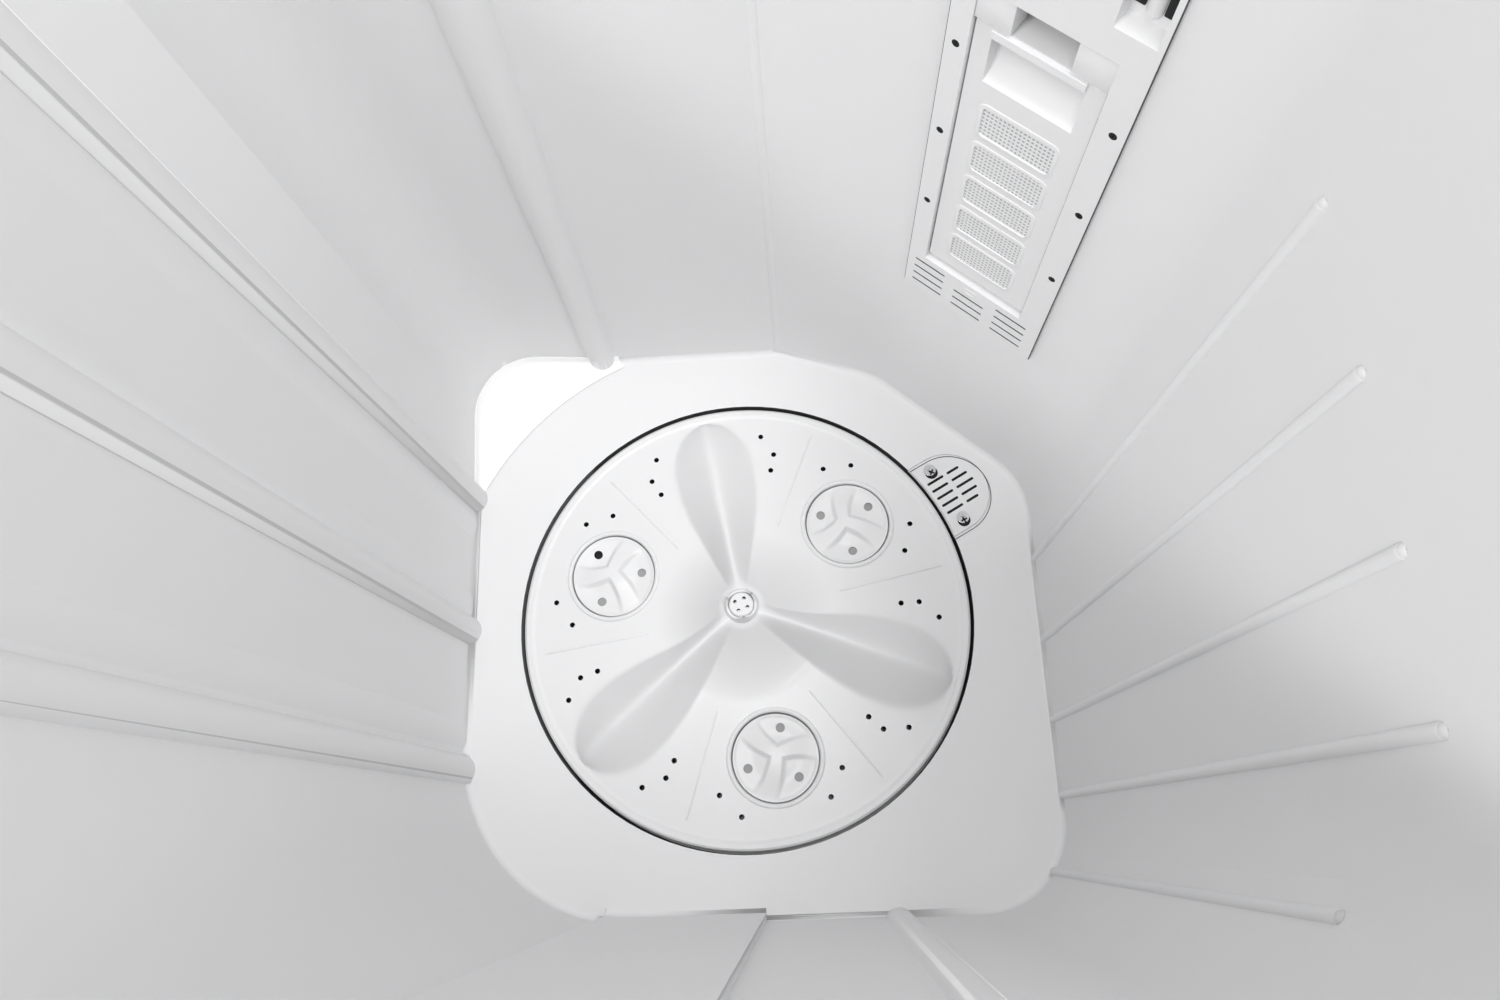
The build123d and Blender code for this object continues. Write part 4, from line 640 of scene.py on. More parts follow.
def wall_reach(turn):
    """How far the tub's wall is from the pulsator's axis, over the raised back left corner."""
    left, back, corner, far = 0.2, 0.207, 0.048, 9.0
    way = Vector((math.cos(turn), math.sin(turn)))
    reach = min(-left / way.x if way.x < 0.0 else far, back / way.y)
    centre = Vector((corner - left, back - corner))
    spot = way * reach
    if spot.x < centre.x and spot.y > centre.y:
        along = way.dot(centre)
        reach = along + math.sqrt(along ** 2 - centre.length_squared + corner ** 2)
    return reach


def corner_step():
    """The clean raised step in the back left corner of the tub's floor, from one wall round to the other, with a
    painted highlight.
    """
    unpick()
    bpy.ops.mesh.primitive_grid_add(x_subdivisions=72, y_subdivisions=16, size=1.0)
    step = bpy.context.object
    step.name = "corner_step"
    first_turn, sweep = 113.8, 39.9
    start, fillet, slope = 0.2195, 0.005, math.tan(math.radians(14.0))
    thickness, clearance = 0.0012, 0.0005
    for corner in step.data.vertices:
        turn = math.radians(first_turn + sweep * (corner.co.x + 0.5))
        wall = wall_reach(turn)
        reach = start + (wall - start) * (0.5 - corner.co.y)
        near = max(fillet - (wall - reach), 0.0)
        rise = (reach - start) * slope + fillet - math.sqrt(fillet ** 2 - near ** 2)
        corner.co = wash_axis + Vector((reach * math.cos(turn), reach * math.sin(turn), 0.0))
        corner.co.z = tub_floor + rise + clearance
    edit_all()
    bpy.ops.mesh.normals_make_consistent(inside=False)
    object_mode()
    thick = step.modifiers.new("thick", "SOLIDIFY")
    thick.thickness = thickness
    thick.offset = -1.0
    bpy.ops.object.modifier_apply(modifier="thick")
    return settle(step, corner_gloss_and_highlight(), "machine", 50.0)


def filter_place():
    """The place of the filter cassette: across to the right, up the wall and out into the tub."""
    across = Vector(joints["lint_filter_tilt"]["axis"]).normalized()
    outward = Vector((-across.y, across.x, 0.0))
    draft = math.radians(0.5)
    pin_depth = 0.004
    rise = outward * math.sin(draft) + Vector((0.0, 0.0, math.cos(draft)))
    inward = across.cross(rise)
    corner = Vector(joints["lint_filter_tilt"]["pos_m"]) - rise * pin_depth + inward * pin_depth
    turn = Matrix((across, rise, inward)).transposed().to_4x4()
    return Matrix.Translation(corner) @ turn


def on_filter(x, y, z):
    """A place on the filter, in millimetres across, up and out."""
    return filter_place() @ Matrix.Translation((x / 1000.0, y / 1000.0, z / 1000.0))


def rounded_plate(name, width, height, thickness, corner, edge=0.0):
    """A plate with round corners, in the middle of the frame, with a softened front edge."""
    plate = bar(name, (width, height, thickness))
    level = thickness / 4.0
    pick_edges(plate, lambda a, b: abs(a.z - b.z) > level)
    bpy.ops.mesh.bevel(offset=corner, segments=6, affect="EDGES")
    object_mode()
    if edge:
        pick_edges(plate, lambda a, b: a.z > level and b.z > level)
        bpy.ops.mesh.bevel(offset=edge, segments=3, affect="EDGES")
        object_mode()
    return plate


def on_recess_wall(place, normal):
    """Whether a face of the tub is on the upright wall round the pulsator, below the floor."""
    reach = (place - wash_axis).xy.length
    return abs(normal.z) < 0.5 and place.z < tub_floor and 0.1605 < reach < 0.166


def on_left_rib(place, normal):
    """Whether a face of the tub is the side of a left rib that the lamps light most, which gets painted shade."""
    near_ribs = place.x < -0.37 and abs(place.y + 0.045) < 0.115 and place.z > tub_floor + 0.02
    return near_ribs and normal.x > 0.2 and normal.y < -0.55


def on_right_rib(place, normal):
    """Whether a face of the tub is the sloping end of a rib on the right wall, which gets painted shade."""
    return place.x > -0.06 and tub_floor + 0.04 < place.z < 0.85 and normal.z > 0.3


def in_grille_slot(place, normal):
    """Whether a face of the drain grille is inside one of its slots."""
    middle = wash_axis + drain_way.xy.normalized().to_3d() * grille_reach
    in_grille = (place - middle).xy.length < 0.0255 and (place - wash_axis).xy.length > 0.1643
    return in_grille and abs(normal.z) < 0.5


def by_drain(reach, side=0.0, height=tub_floor):
    """A place so far from the pulsator's axis towards the drain, and so far to the side of that line."""
    spot = wash_axis + Matrix.Rotation(drain_turn, 3, "Z") @ Vector((reach, side, 0.0))
    return Matrix.Translation((spot.x, spot.y, height))


def drain_screws():
    """Dress the tub's screws: the filter frame's painted dark as the painted shadow of their holes, and the drain
    grille's two dull, with crosses and rings of painted shadow.
    """
    screws = soft_copy("tub_screws", 0.0002)
    above_drain = 0.4
    low_top = max(corner.co.z for corner in screws.data.vertices if corner.co.z < above_drain)
    # Painted shadow: the filter frame's screw heads are dark as the shade in their holes.
    paint(screws, hole_shadow(), lambda place, normal: place.z > above_drain)
    paint(screws, screw_steel(), lambda place, normal: place.z < above_drain)
    # A ring of painted shadow round each grille screw, and a cross of painted shadow in its head.
    screw_shades = []
    thickness = 0.0004
    for side in (-1.0, 1.0):
        ring_shade = round_bar("ring_shade", 0.0047, thickness)
        screw_shades.append(put(ring_shade, by_drain(screw_reach, side * screw_spread)))
        for arm in (45.0, 135.0):
            cross_shade = bar("cross_shade", (0.0046, 0.0012, thickness))
            aim = Matrix.Rotation(math.radians(arm + 20.0 * side), 4, "Z")
            screw_shades.append(put(cross_shade, by_drain(screw_reach, side * screw_spread, low_top) @ aim))
    settle(join("screw_shadows", screw_shades), hole_shadow(), "machine")


def grille_shadow_line():
    """The thin line of painted shadow round the drain grille: half a circle, and two straight runs to the
    pulsator.
    """
    radius, width, thickness, run = 0.0305, 0.0006, 0.0004, 0.0144
    name = "grille_shadow_line"
    inner = round_bar("inner", radius - width, 0.01, sides=96)
    arc = cut(round_bar(name, radius, thickness, sides=96), inner)
    arc = cut(arc, put(bar("half", (0.04, 0.08, 0.02)), Matrix.Translation((-0.02, 0.0, 0.0))))
    middle = radius - width / 2.0
    edges = [put(bar("edge", (run, width, thickness)), Matrix.Translation((-run / 2.0, side * middle, 0.0)))
             for side in (-1.0, 1.0)]
    turn = Matrix.Rotation(drain_turn, 4, "Z")
    line = put(join(name, [arc] + edges), by_drain(grille_reach) @ turn)
    settle(line, slot_shadow(), "machine")


class WASHER_OT_tub(bpy.types.Operator):
    """Dress the wash tub and its grille with painted shade and shadow, and make its corner step, drain screws, a
    plate of painted shadow under the grille and a painted shadow line round it
    """

    bl_idname = "washer.tub"
    bl_label = "Wash tub"
    bl_options = {"REGISTER", "UNDO"}

    def execute(self, context):
        tub = soft_copy("wash_tub")
        # Painted shadow on the upright wall of the recess round the pulsator, and painted shade on the ribs where
        # the lamps light them.
        paint(tub, slot_shadow(), on_recess_wall)
        paint(tub, rib_plastic(), on_left_rib)
        paint(tub, rib_plastic(), on_right_rib)
        corner_step()
        grille = soft_copy("drain_grille", 0.0003)
        # Painted shadow inside the drain grille's slots.
        paint(grille, hole_shadow(), in_grille_slot)
        # A dark plate of painted shadow under the grille, seen through its slots.
        shade_plate = rounded_plate("drain_shade_plate", 0.036, 0.031, 0.0004, 0.004)
        place = by_drain(shade_plate_reach, height=tub_floor - 0.0006) @ Matrix.Rotation(drain_turn, 4, "Z")
        settle(put(shade_plate, place), hole_shadow(), "machine")
        drain_screws()
        grille_shadow_line()
        return {"FINISHED"}


def filter_windows():
    """The mesh panes of the cassette, and a raised edge round each."""
    white = tub_plastic()
    rows, foot, pitch = 5, 23.25, 26.5
    width, height = 0.0402, 0.0207
    window = rounded_plate("window", width, height, 0.0014, 0.003)
    panes = repeat(window, [on_filter(0.0, foot + pitch * i, -1.1) for i in range(rows)])
    panes = settle(join("filter_windows", panes), mesh_cloth(), "lint_filter")
    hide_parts("filter_mesh")
    edge = rounded_plate("edge", width + 0.003, height + 0.003, 0.0009, 0.0042, 0.0004)
    hole = rounded_plate("hole", width - 0.0016, height - 0.0016, 0.01, 0.0026)
    clothe(edge, white)
    clothe(hole, white)
    cut(edge, hole)
    edges = repeat(edge, [on_filter(0.0, foot + pitch * i, -0.15) for i in range(rows)])
    settle(join("window_edges", edges), white, "lint_filter")


class WASHER_OT_filter(bpy.types.Operator):
    """Dress the filter frame and its cassette, and make the mesh windows"""

    bl_idname = "washer.filter"
    bl_label = "Lint filter"
    bl_options = {"REGISTER", "UNDO"}

    def execute(self, context):
        white = tub_plastic()
        soft_copy("filter_frame", 0.0003)
        soft_copy("lint_filter", 0.0004)
        filter_windows()
        shade = rounded_plate("shade", 0.0208, 0.0016, 0.0006, 0.0007)
        column_pitch, row_pitch, lowest_slot = 28.2, 7.3, -28.8
        spots = [on_filter(column_pitch * column, lowest_slot + row_pitch * row, 2.0)
                 for column in (-1, 0, 1) for row in range(4) if column or row < 3]
        settle(join("slot_shades", repeat(shade, spots)), slot_shadow(), "machine")
        brow = bar("brow", (0.0178, 0.0176, 0.012), edge=0.0004)
        brows = repeat(brow, [on_filter(side * 23.5, 195.7, -4.4) for side in (-1, 1)])
        settle(join("filter_brows", brows), white, "machine")
        # Bars of painted shadow in the gaps either side of the overflow's post.
        gap_shade = bar("gap_shade", (0.0045, 0.038, 0.0012), edge=0.0004)
        gap_shades = repeat(gap_shade, [on_filter(34.5 + side * 6.2, 244.0, -7.3) for side in (-1, 1)])
        settle(join("overflow_gap_shadows", gap_shades), hole_shadow(), "machine")
        # Thin lines of painted shadow along both long edges of the frame, the right one wider.
        frame_length, frame_middle = 0.334, 131.7
        right = put(bar("right", (0.0005, frame_length, 0.0009)), on_filter(46.75, frame_middle, 2.0))
        left = put(bar("left", (0.0003, frame_length, 0.0009)), on_filter(-43.65, frame_middle, 2.0))
        settle(join("frame_shadow_lines", [right, left]), slot_shadow(), "machine")
        # A thin line of painted shadow on the cassette.
        line = put(bar("cassette_shadow_line", (0.0006, 0.168, 0.0008)), on_filter(32.0, 86.0, -0.4))
        settle(line, slot_shadow(), "lint_filter")
        pill = put(outline("slot_mark", 0.008, 0.004, 0.0004, 0.0019, 0.0005), on_filter(0.0, -6.9, 2.6))
        settle(pill, white, "machine")
        return {"FINISHED"}


def smooth(low, high, value):
    """A smooth step from 0 to 1 between two values."""
    share = min(max((value - low) / (high - low), 0.0), 1.0)
    return share * share * (3.0 - 2.0 * share)


def between(rows, value):
    """The height between rows of (place, height), in straight runs."""
    for (start, low), (end, high) in zip(rows, rows[1:]):
        if value <= end:
            return low + (high - low) * (value - start) / (end - start)
    return rows[-1][1]


def soft_high(first, second, softness):
    """The higher of two heights, with a soft crease where they meet."""
    return (first + second + math.hypot(first - second, softness)) / 2.0


# Heights and reaches of the pulsator are in millimetres from the tub's floor and the pulsator's axis.

hub_reach, hub_height = 11.0, 40.0
cone_foot, foot_height = 64.0, 3.4
petal_start, petal_nose, nose_length = 5.0, 112.0, 39.0
petal_half_widths = ((petal_start, 4.0), (15.0, 6.0), (31.0, 10.5), (52.0, 17.0), (78.0, 25.0),
                     (95.0, 28.4), (petal_nose, 29.3))
petal_turns = (100.0, 220.0, 340.0)


def dish_height(reach):
    """The height of the dish between its petals: a cone with hollow flanks that runs out to a lip."""
    if reach < hub_reach:
        return hub_height
    if reach < cone_foot:
        fall = (cone_foot - reach) / (cone_foot - hub_reach)
        return foot_height + (hub_height - foot_height) * fall ** 2.0 * (1.0 - 0.1 * smooth(0.9, 1.0, fall))
    slope = 4.0 - 0.0516 * (reach - 53.0)
    lip = 1.2
    return slope + lip * smooth(153.5, 155.0, reach) - lip * smooth(158.6, 160.0, reach)


def petal_height(along, side, dish):
    """The height of one petal: straight flanks under a rounded ridge, with a round nose."""
    below, ridge_height, ridge_fall, ridge_run = -20.0, 37.0, 9.0, 103.0
    if not petal_start < along < petal_nose + nose_length - 0.2:
        return below
    nose = math.sqrt(1.0 - (max(along - petal_nose, 0.0) / nose_length) ** 2)
    half = petal_half_widths[-1][1] * nose
    if along < petal_nose:
        half = between(petal_half_widths, along)
    ridge = (ridge_height - ridge_fall * (along / ridge_run) ** 2) * nose ** 0.9
    round_off = 4.5
    fall = (math.hypot(side, round_off) - round_off) / (math.hypot(half, round_off) - round_off)
    return ridge - (ridge - dish) * fall


def pulsator_height(place):
    """The height of the pulsator's upper side at a place, in metres."""
    x, y = place.x * 1000.0, place.y * 1000.0
    dish = dish_height(math.hypot(x, y))
    height = dish
    crease = 1.6
    for turn in petal_turns:
        across, up = math.cos(math.radians(turn)), math.sin(math.radians(turn))
        petal = petal_height(x * across + y * up, y * across - x * up, dish)
        height = soft_high(height, petal, crease)
    return height / 1000.0


def disc_height(place, arms):
    """The height of a small disc's upper side: three broad arms with hollows between them, in metres."""
    x, y = place.x * 1000.0, place.y * 1000.0
    reach = math.hypot(x, y)
    first = math.radians(arms)
    heart_reach, heart_turn, arm_reach, bend = 3.0, first + 0.96, 30.0, 2.2
    heart = Vector((heart_reach * math.cos(heart_turn), heart_reach * math.sin(heart_turn)))
    nearest = math.inf
    for i in range(3):
        turn = first + i * math.tau / 3.0
        run = Vector((arm_reach * math.cos(turn), arm_reach * math.sin(turn))) - heart
        way = run.normalized()
        step = Vector((x, y)) - heart
        along = step.dot(way)
        share = min(max(along / run.length, 0.0), 1.0)
        side = way.x * step.y - way.y * step.x - bend * math.sin(math.pi * share)
        width = 3.6 + 3.4 * share ** 1.5
        distance = (abs(side) if along > 0.0 else step.length) - width
        nearest = min(nearest, distance)
    crown = 4.1 - 3.8 * smooth(4.0, 30.0, reach)
    hollow = (3.9 - 3.0 * smooth(14.0, 28.0, reach)) * smooth(-0.3, 3.4, nearest)
    return (crown - hollow * (1.0 - smooth(27.5, 28.6, reach))) / 1000.0


def pulsator_pockets(spots):
    """Round pockets for the small discs, as one piece to cut away."""
    pockets = []
    for spot in spots:
        pocket = round_bar("pocket", 0.0307, 0.03, sides=96)
        clothe(pocket, pulsator_plastic())
        pockets.append(put(pocket, Matrix.Translation((spot.x, spot.y, 0.008))))
    return join("pockets", pockets)


def pulsator_holes(spots, radius):
    """The small holes round each disc, as one piece to cut away."""
    holes = []
    for spot in spots:
        turn = math.atan2(spot.y, spot.x)
        for reach, spread in drain_hole_places:
            for side in (-1.0, 1.0):
                angle = turn + side * math.radians(spread)
                place = Matrix.Translation((reach * math.cos(angle), reach * math.sin(angle), 0.0))
                holes.append(put(round_bar("hole", radius, 0.03, sides=20), place))
    holes = join("holes", holes)
    clothe(holes, hole_shadow())
    return holes


def pulsator_trim(spots):
    """The low ring round each disc, and the two low lines either side of it."""
    lean = Matrix.Rotation(pulsator_slope, 4, "Y")
    pieces = []
    for spot in spots:
        tilt = Vector((spot.x, spot.y, 0.0)).to_track_quat("X", "Z").to_matrix().to_4x4()
        place = Matrix.Translation((spot.x, spot.y, 0.0013))
        pieces.append(put(hoop(0.0324, 0.0017, 96, 12), place @ tilt @ lean))
    spread = math.radians(28.0)
    for spot in spots:
        for side in (-1.0, 1.0):
            line = bar("line", (0.076, 0.0012, 0.0016), edge=0.0004)
            aim = Matrix.Rotation(math.atan2(spot.y, spot.x) + side * spread, 4, "Z")
            pieces.append(put(line, aim @ Matrix.Translation((0.108, 0.0, 0.0012)) @ lean))
    trim = join("pulsator_trim", pieces)
    clothe(trim, pulsator_plastic())
    return trim


class WASHER_OT_pulsator(bpy.types.Operator):
    """Make the pulsator with its petals, pockets, holes and lines, and dress its cap"""

    bl_idname = "washer.pulsator"
    bl_label = "Pulsator"
    bl_options = {"REGISTER", "UNDO"}

    def execute(self, context):
        steps = 97
        bore, radius, hub, sleeve = 0.0089, 0.16, 0.015, 0.0065
        floor, hub_foot, cap_seat = -0.0095, -0.018, 0.0347
        upper = [(bore + i * (radius - bore) / steps, 0.0) for i in range(steps + 1)]
        lower = [(radius, -0.01), (0.1505, -0.01), (0.15, floor), (hub, floor), (hub, hub_foot),
                 (sleeve, hub_foot), (sleeve, cap_seat), (bore, cap_seat), (bore, 0.0)]
        wheel = turned("pulsator_dressed", upper + lower, 480, pulsator_height)
        clothe(wheel, pulsator_plastic())
        middle = Vector((wash_axis.x, wash_axis.y, tub_floor))
        spots = [centre - middle for centre in disc_centres]
        cut(wheel, pulsator_pockets(spots))
        cut(wheel, pulsator_holes(spots, context.scene.washer_sizes.drain_hole))
        trim = pulsator_trim(spots)
        for piece in (wheel, trim):
            put(piece, Matrix.Translation(middle))
            settle(piece, None, "pulsator", 35.0)
        rim = radius - 0.0005
        paint(wheel, slot_shadow(),
              lambda place, normal: abs(normal.z) < 0.3 and (place - middle).xy.length > rim)
        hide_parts("pulsator")
        cap = soft_copy("pulsator_cap", 0.0002)
        socket = 0.0062
        paint(cap, hole_shadow(),
              lambda place, normal: abs(normal.z) < 0.3 and (place - middle).xy.length < socket)
        return {"FINISHED"}


class WASHER_OT_discs(bpy.types.Operator):
    """Make the three small discs of the pulsator"""

    bl_idname = "washer.discs"
    bl_label = "Small discs"
    bl_options = {"REGISTER", "UNDO"}

    def execute(self, context):
        radius, rim_foot, underside = 0.03, -0.006, -0.0065
        upper = [(0.00074 * step, 0.0) for step in range(41)]
        lower = [(radius, -0.0008), (radius, rim_foot), (0.0295, underside), (0.0, underside)]
        well_reach = 0.0205
        shadowed_well = (1, 0)
        for i, (centre, arms) in enumerate(zip(disc_centres, (90.0, 57.0, 11.0))):
            name = "small_disc_" + str(i + 1)
            disc = turned(name + "_dressed", upper + lower, 144, lambda place: disc_height(place, arms))
            clothe(disc, pulsator_plastic())
            # The wells' floors take painted shade, and one well takes painted shadow, near black.
            wells = []
            for arm in range(3):
                angle = math.radians(arms + 68.0 + arm * 120.0)
                well = round_bar("well", 0.0032, 0.02, sides=32)
                clothe(well, hole_shadow() if (i, arm) == shadowed_well else well_painted_shade())
                place = (well_reach * math.cos(angle), well_reach * math.sin(angle), 0.0075)
                wells.append(put(well, Matrix.Translation(place)))
            cut(disc, join("wells", wells))
            put(disc, Matrix.Translation((centre.x, centre.y, tub_floor)))
            settle(disc, None, name, 50.0)
            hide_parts(name)
        return {"FINISHED"}


def groove(piece, place, width, height, corner, depth, rim):
    """Cut a shallow round-cornered groove into a face of a piece."""
    ring = put(outline("groove", width, height, 2.0 * depth, corner, rim), place)
    clothe(ring, piece.data.materials[0])
    return cut(piece, ring)


def on_console(x, side, up, out=0.0):
    """A place on the sloping face of the console, in millimetres, beside the knob at x."""
    normal = Vector(joints["water_turn"]["axis"])
    rise = normal.cross(Vector((1.0, 0.0, 0.0)))
    turn = Matrix(((1.0, 0.0, 0.0), rise, normal)).transposed().to_4x4()
    middle = Vector(joints["water_turn"]["pos_m"])
    middle.x = x
    return Matrix.Translation(middle) @ turn @ Matrix.Translation((side / 1000.0, up / 1000.0, out / 1000.0))


class WASHER_OT_cabinet(bpy.types.Operator):
    """Dress the base, the cabinet, the deck, the back cover and the feet"""

    bl_idname = "washer.cabinet"
    bl_label = "Cabinet"
    bl_options = {"REGISTER", "UNDO"}

    def execute(self, context):
        soft_copy("base", 0.0012)
        soft_copy("feet", 0.0008)
        soft_copy("top_deck", 0.0008)
        soft_copy("rear_cover")
        soft_copy("cord_gland", 0.0004)
        cabinet = soft_copy("cabinet")
        low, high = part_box("cabinet")
        middle = (low + high) / 2.0
        quarter = math.radians(90.0)
        tall, corner, rim = 0.62, 0.05, 0.003
        depth = context.scene.washer_sizes.cabinet_groove
        front = Matrix.Translation((0.0, low.y, middle.z)) @ Matrix.Rotation(quarter, 4, "X")
        groove(cabinet, front, 0.76, tall, corner, depth, rim)
        for side in (low.x, high.x):
            wall = Matrix.Translation((side, 0.02, middle.z)) @ Matrix.Rotation(quarter, 4, "Y")
            groove(cabinet, wall, tall, 0.42, corner, depth, rim)
        return {"FINISHED"}


class WASHER_OT_lids(bpy.types.Operator):
    """Dress both lids and cut a groove round the top of each"""

    bl_idname = "washer.lids"
    bl_label = "Lids"
    bl_options = {"REGISTER", "UNDO"}

    def execute(self, context):
        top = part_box("spin_lid")[1].z
        front, behind_hinge, inset, corner, rim = -0.268, 0.008, 0.05, 0.012, 0.002
        depth = context.scene.washer_sizes.lid_groove
        for name, degrees_open in (("wash_lid", 94.0), ("spin_lid", 0.0)):
            lid = soft_copy(name)
            low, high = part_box(name)
            hinge = Vector(joints[name + "_hinge"]["pos_m"])
            back = hinge.y - behind_hinge
            place = Matrix.Translation(((low.x + high.x) / 2.0, (back + front) / 2.0, top))
            swing = Matrix.Translation(hinge) @ Matrix.Rotation(math.radians(-degrees_open), 4, "X")
            swing = swing @ Matrix.Translation(-hinge)
            groove(lid, swing @ place, high.x - low.x - inset, back - front - inset, corner, depth, rim)
        return {"FINISHED"}


def timer_number(text, height):
    """A low raised number, in the middle of the frame."""
    bpy.ops.object.text_add()
    number = bpy.context.object
    number.data.body = text
    number.data.size = height
    number.data.align_x = "CENTER"
    number.data.align_y = "CENTER"
    number.data.extrude = 0.0002
    number.data.resolution_u = 4
    pick(number)
    bpy.ops.object.convert(target="MESH")
    return number


def knob_marks(knob, number_height):
    """The marks round a knob: lines and numbers for a timer, lines and growing dots for a switch."""
    x = joints[knob + "_turn"]["pos_m"][0]
    span = joints[knob + "_turn"]["range_deg"][1]
    timer = knob.endswith("timer")
    steps = 10 if timer else 2
    minutes = 3 if knob == "wash_timer" else 1
    above_face, line_reach = 2.1, 0.0276
    marks = []
    for i in range(steps + 1):
        turn = math.radians(span * i / steps)
        long = i % 2 == 0 or not timer
        line = bar("tick", (0.0009, 0.0024, 0.0004) if long else (0.0005, 0.0014, 0.0004))
        place = Matrix.Rotation(turn, 4, "Z") @ Matrix.Translation((0.0, line_reach, 0.0))
        marks.append(put(line, on_console(x, 0.0, 0.0, above_face) @ place))
        if timer and long:
            reach = 32.2
            spot = on_console(x, -reach * math.sin(turn), reach * math.cos(turn) * 0.97, above_face)
            marks.append(put(timer_number(str(i // 2 * minutes), number_height), spot))
        elif not timer:
            dot = round_bar("dot", 0.0007 + 0.0006 * i, 0.0004, sides=20)
            marks.append(put(dot, on_console(x, -32.0 * math.sin(turn), 31.5 * math.cos(turn), above_face)))
    return marks


class WASHER_OT_console(bpy.types.Operator):
    """Dress the console, and make its marks, numbers, knob rings and pointers"""

    bl_idname = "washer.console"
    bl_label = "Console"
    bl_options = {"REGISTER", "UNDO"}

    def execute(self, context):
        ink = finish("mark_ink", context.scene.washer_colours.rubber, 0.5, grain=500.0)
        soft_copy("console_body", 0.001)
        soft_copy("console_panel", 0.0005)
        soft_copy("water_valve", 0.0004)
        soft_copy("outlet_spigot", 0.0004)
        face = 2.2
        rim = outline("console_rim", 0.79, 0.061, 0.0006, 0.006, 0.0012)
        clothe(rim, plated_steel())
        settle(put(rim, on_console(0.0, 0.0, 0.0, face)), None, "machine")
        marks = []
        rings = []
        for knob in ("wash_timer", "water", "program", "spin_timer"):
            marks.extend(knob_marks(knob, context.scene.washer_sizes.number))
            x = joints[knob + "_turn"]["pos_m"][0]
            rings.append(put(hoop(0.0252, 0.0006, 72, 10), on_console(x, 0.0, 0.0, face)))
            soft_copy(knob + "_knob", 0.0004)
            pointer = bar("pointer", (0.0018, 0.012, 0.0005), edge=0.0001)
            pointer = put(pointer, on_console(x, 0.0, 14.5, 23.05))
            pointer.name = knob + "_pointer"
            settle(pointer, ink, knob + "_knob")
        marks = join("console_marks", marks)
        edit_all()
        bpy.ops.mesh.remove_doubles(threshold=weld)
        object_mode()
        settle(marks, ink, "machine")
        settle(join("knob_rings", rings), plated_steel(), "machine")
        nozzle_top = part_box("water_valve")[1].z
        nozzle_x = joints["water_turn"]["pos_m"][0]
        nozzle_y = cad_high.y - 0.021
        thread_pitch = 0.0025
        threads = []
        for i in range(5):
            place = Vector((nozzle_x, nozzle_y, nozzle_top - thread_pitch * (i + 1)))
            threads.append(put(hoop(0.0094, 0.0007, 48, 8), Matrix.Translation(place)))
        settle(join("nozzle_threads", threads), cabinet_plastic(), "machine")
        return {"FINISHED"}


class WASHER_OT_spin(bpy.types.Operator):
    """Dress the spin basket and its housing"""

    bl_idname = "washer.spin"
    bl_label = "Spin tub"
    bl_options = {"REGISTER", "UNDO"}

    def execute(self, context):
        soft_copy("spin_basket")
        soft_copy("spin_housing")
        return {"FINISHED"}


class WASHER_OT_rest(bpy.types.Operator):
    """Give every other piece its finish"""

    bl_idname = "washer.rest"
    bl_label = "Other pieces"
    bl_options = {"REGISTER", "UNDO"}

    def execute(self, context):
        for node, piece in frame["nodes"].items():
            if not piece.hide_render:
                clothe(piece, finishes[slots[node]]())
        return {"FINISHED"}


# Places of the lamps, right of and behind the middle of the floor, and where they all aim
lamp_columns = (-1.66, -0.93, -0.2, 0.53)
lamp_rows = (-1.27, -0.62, 0.03)
lamp_aim = Vector((-0.2, -0.05, 0.45))


def hang_lamp(name, across, back, power):
    """Hang a square lamp over the machine, aimed into the wash tub."""
    studio = bpy.context.scene.washer_studio
    place = Vector((across, back, studio.lamp_height))
    bpy.ops.object.light_add(type="AREA", location=place)
    lamp = bpy.context.object
    lamp.name = name
    lamp.data.size = studio.lamp_size
    lamp.data.energy = power
    lamp.rotation_mode = "QUATERNION"
    lamp.rotation_quaternion = (lamp_aim - place).to_track_quat("-Z", "Y")


def studio_air(strength):
    """Even light from all round, which the camera, mirrors and glass see as a plain pale backdrop."""
    world = bpy.data.worlds.new("studio_air")
    bpy.context.scene.world = world
    world.use_nodes = True
    nodes, links = world.node_tree.nodes, world.node_tree.links
    light = nodes["Background"]
    light.inputs["Color"].default_value = (1.0, 1.0, 1.0, 1.0)
    light.inputs["Strength"].default_value = strength
    seen = nodes.new("ShaderNodeBackground")
    seen.inputs["Color"].default_value = (0.95, 0.95, 0.95, 1.0)
    path = nodes.new("ShaderNodeLightPath")
    first = add_maths(nodes, "MAXIMUM")
    second = add_maths(nodes, "MAXIMUM")
    mix = nodes.new("ShaderNodeMixShader")
    links.new(path.outputs["Is Camera Ray"], first.inputs[0])
    links.new(path.outputs["Is Glossy Ray"], first.inputs[1])
    links.new(first.outputs[0], second.inputs[0])
    links.new(path.outputs["Is Transmission Ray"], second.inputs[1])
    links.new(second.outputs[0], mix.inputs["Fac"])
    links.new(light.outputs[0], mix.inputs[1])
    links.new(seen.outputs[0], mix.inputs[2])
    links.new(mix.outputs[0], nodes["World Output"].inputs["Surface"])


def studio_camera(studio):
    """The camera over the wash tub, turned as the photograph's was."""
    bpy.ops.object.camera_add(location=studio.camera_place)
    camera = bpy.context.object
    camera.name = "camera"
    camera.data.sensor_width = 36.0
    camera.data.lens = studio.lens
    camera.data.clip_start = 0.02
    turn = Vector(studio.camera_turn)
    seat = Matrix.Rotation(turn.length, 3, turn.normalized()) @ Matrix.Diagonal((1.0, -1.0, -1.0))
    # The rows are the picture's right, down and away; Blender's axes are right, up and back.
    axes = Matrix((seat[0], -seat[1], -seat[2])).transposed()
    camera.rotation_mode = "QUATERNION"
    camera.rotation_quaternion = axes.to_quaternion()
    return camera


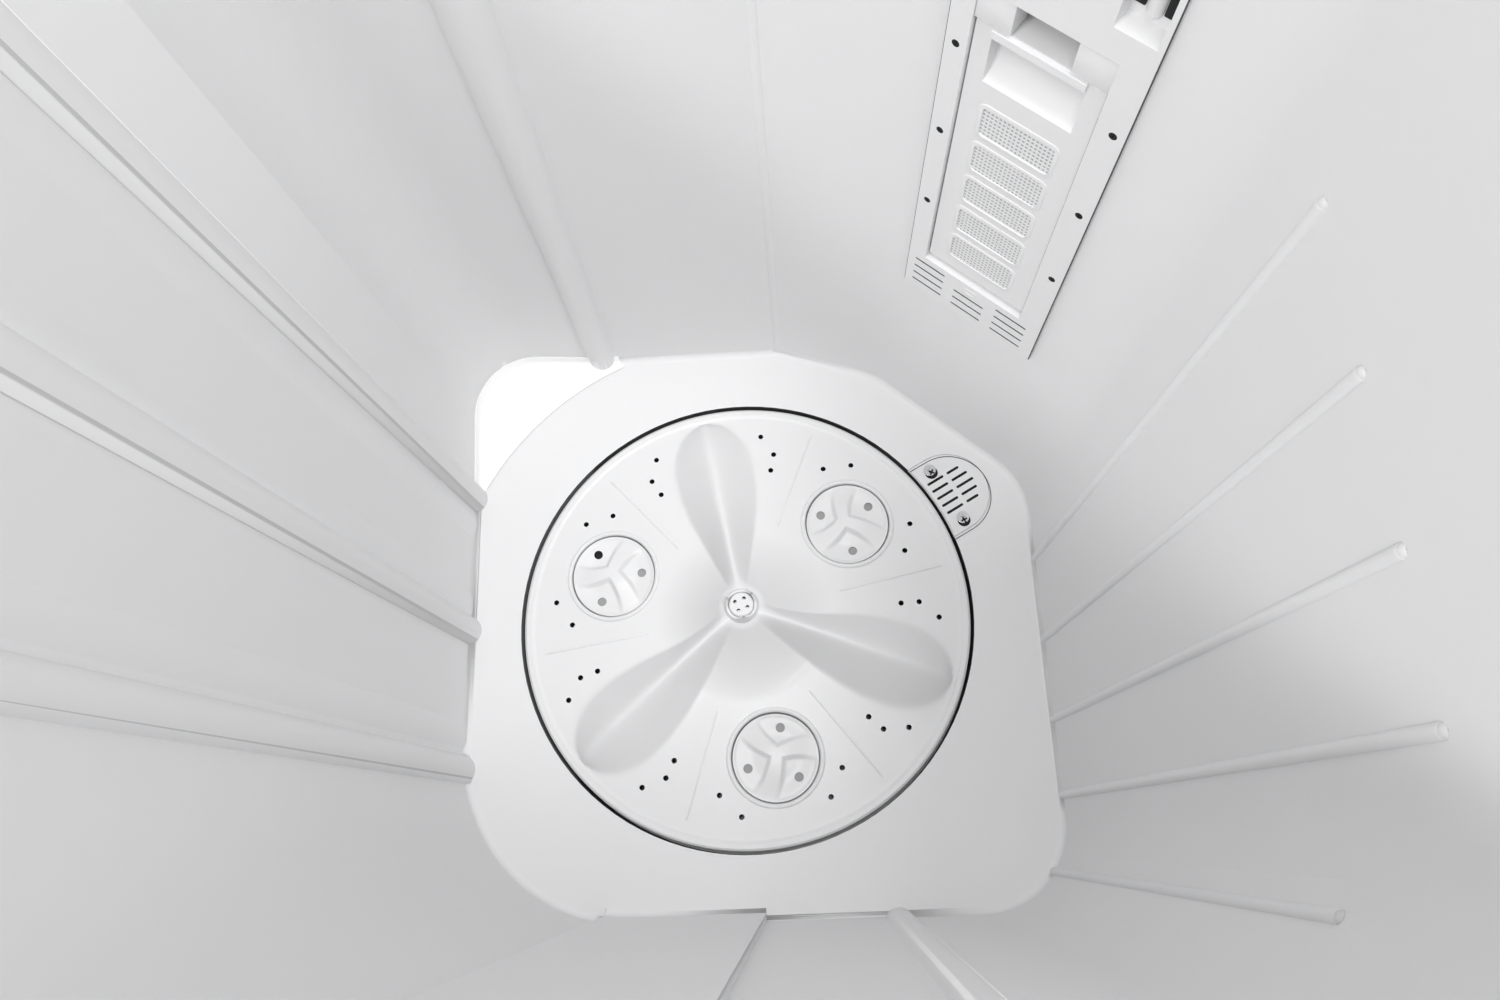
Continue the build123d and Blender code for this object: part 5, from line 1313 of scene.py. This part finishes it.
class WASHER_OT_stage(bpy.types.Operator):
    """Make the floor, the lights and the camera"""

    bl_idname = "washer.stage"
    bl_label = "Studio"
    bl_options = {"REGISTER", "UNDO"}

    def execute(self, context):
        studio = context.scene.washer_studio
        unpick()
        bpy.ops.mesh.primitive_plane_add(size=40.0, location=(0.0, 0.0, 0.0))
        floor = context.object
        floor.name = "studio_floor"
        clothe(floor, finish("studio_floor", studio.floor, 0.9, tone=0.0, depth=0.0))
        far_left, left, middle, right = lamp_columns
        front, beside, back = lamp_rows
        hang_lamp("key_lamp", far_left, front, studio.key)
        hang_lamp("side_lamp", right, beside, studio.side)
        hang_lamp("floor_lamp", middle, -0.13, studio.down)
        for i, place in enumerate(((left, front), (middle, front), (middle, back), (right, back))):
            hang_lamp("fill_lamp_" + str(i + 1), *place, studio.fill)
        studio_air(studio.sky)
        context.scene.view_settings.view_transform = "Standard"
        context.scene.camera = studio_camera(studio)
        return {"FINISHED"}


stages = ("tub", "filter", "pulsator", "discs", "spin", "cabinet", "lids", "console", "rest", "stage")


class WASHER_PT_panel(bpy.types.Panel):
    """The steps that make the washing machine, in order"""

    bl_idname = "WASHER_PT_panel"
    bl_label = "Twin Tub Washing Machine"
    bl_space_type = "VIEW_3D"
    bl_region_type = "UI"
    bl_category = "Washer"

    def draw(self, context):
        column = self.layout.column(align=True)
        for stage in stages:
            column.operator("washer." + stage)
        scene = context.scene
        for group in (scene.washer_colours, scene.washer_sizes, scene.washer_studio):
            box = self.layout.box()
            for name in group.__annotations__:
                box.prop(group, name)


classes = (
    WasherColours, WasherSizes, WasherStudio, WASHER_OT_tub, WASHER_OT_filter, WASHER_OT_pulsator,
    WASHER_OT_discs, WASHER_OT_spin, WASHER_OT_cabinet, WASHER_OT_lids, WASHER_OT_console, WASHER_OT_rest,
    WASHER_OT_stage, WASHER_PT_panel,
)


def register():
    """Make the classes and the groups of settings known to Blender."""
    for kind in classes:
        bpy.utils.register_class(kind)
    bpy.types.Scene.washer_colours = bpy.props.PointerProperty(type=WasherColours)
    bpy.types.Scene.washer_sizes = bpy.props.PointerProperty(type=WasherSizes)
    bpy.types.Scene.washer_studio = bpy.props.PointerProperty(type=WasherStudio)


def unregister():
    """Take them away again."""
    del bpy.types.Scene.washer_studio
    del bpy.types.Scene.washer_sizes
    del bpy.types.Scene.washer_colours
    for kind in reversed(classes):
        bpy.utils.unregister_class(kind)


def main():
    """Make everything in order."""
    register()
    for stage in stages:
        getattr(bpy.ops.washer, stage)()


if __name__ == "__main__":
    main()
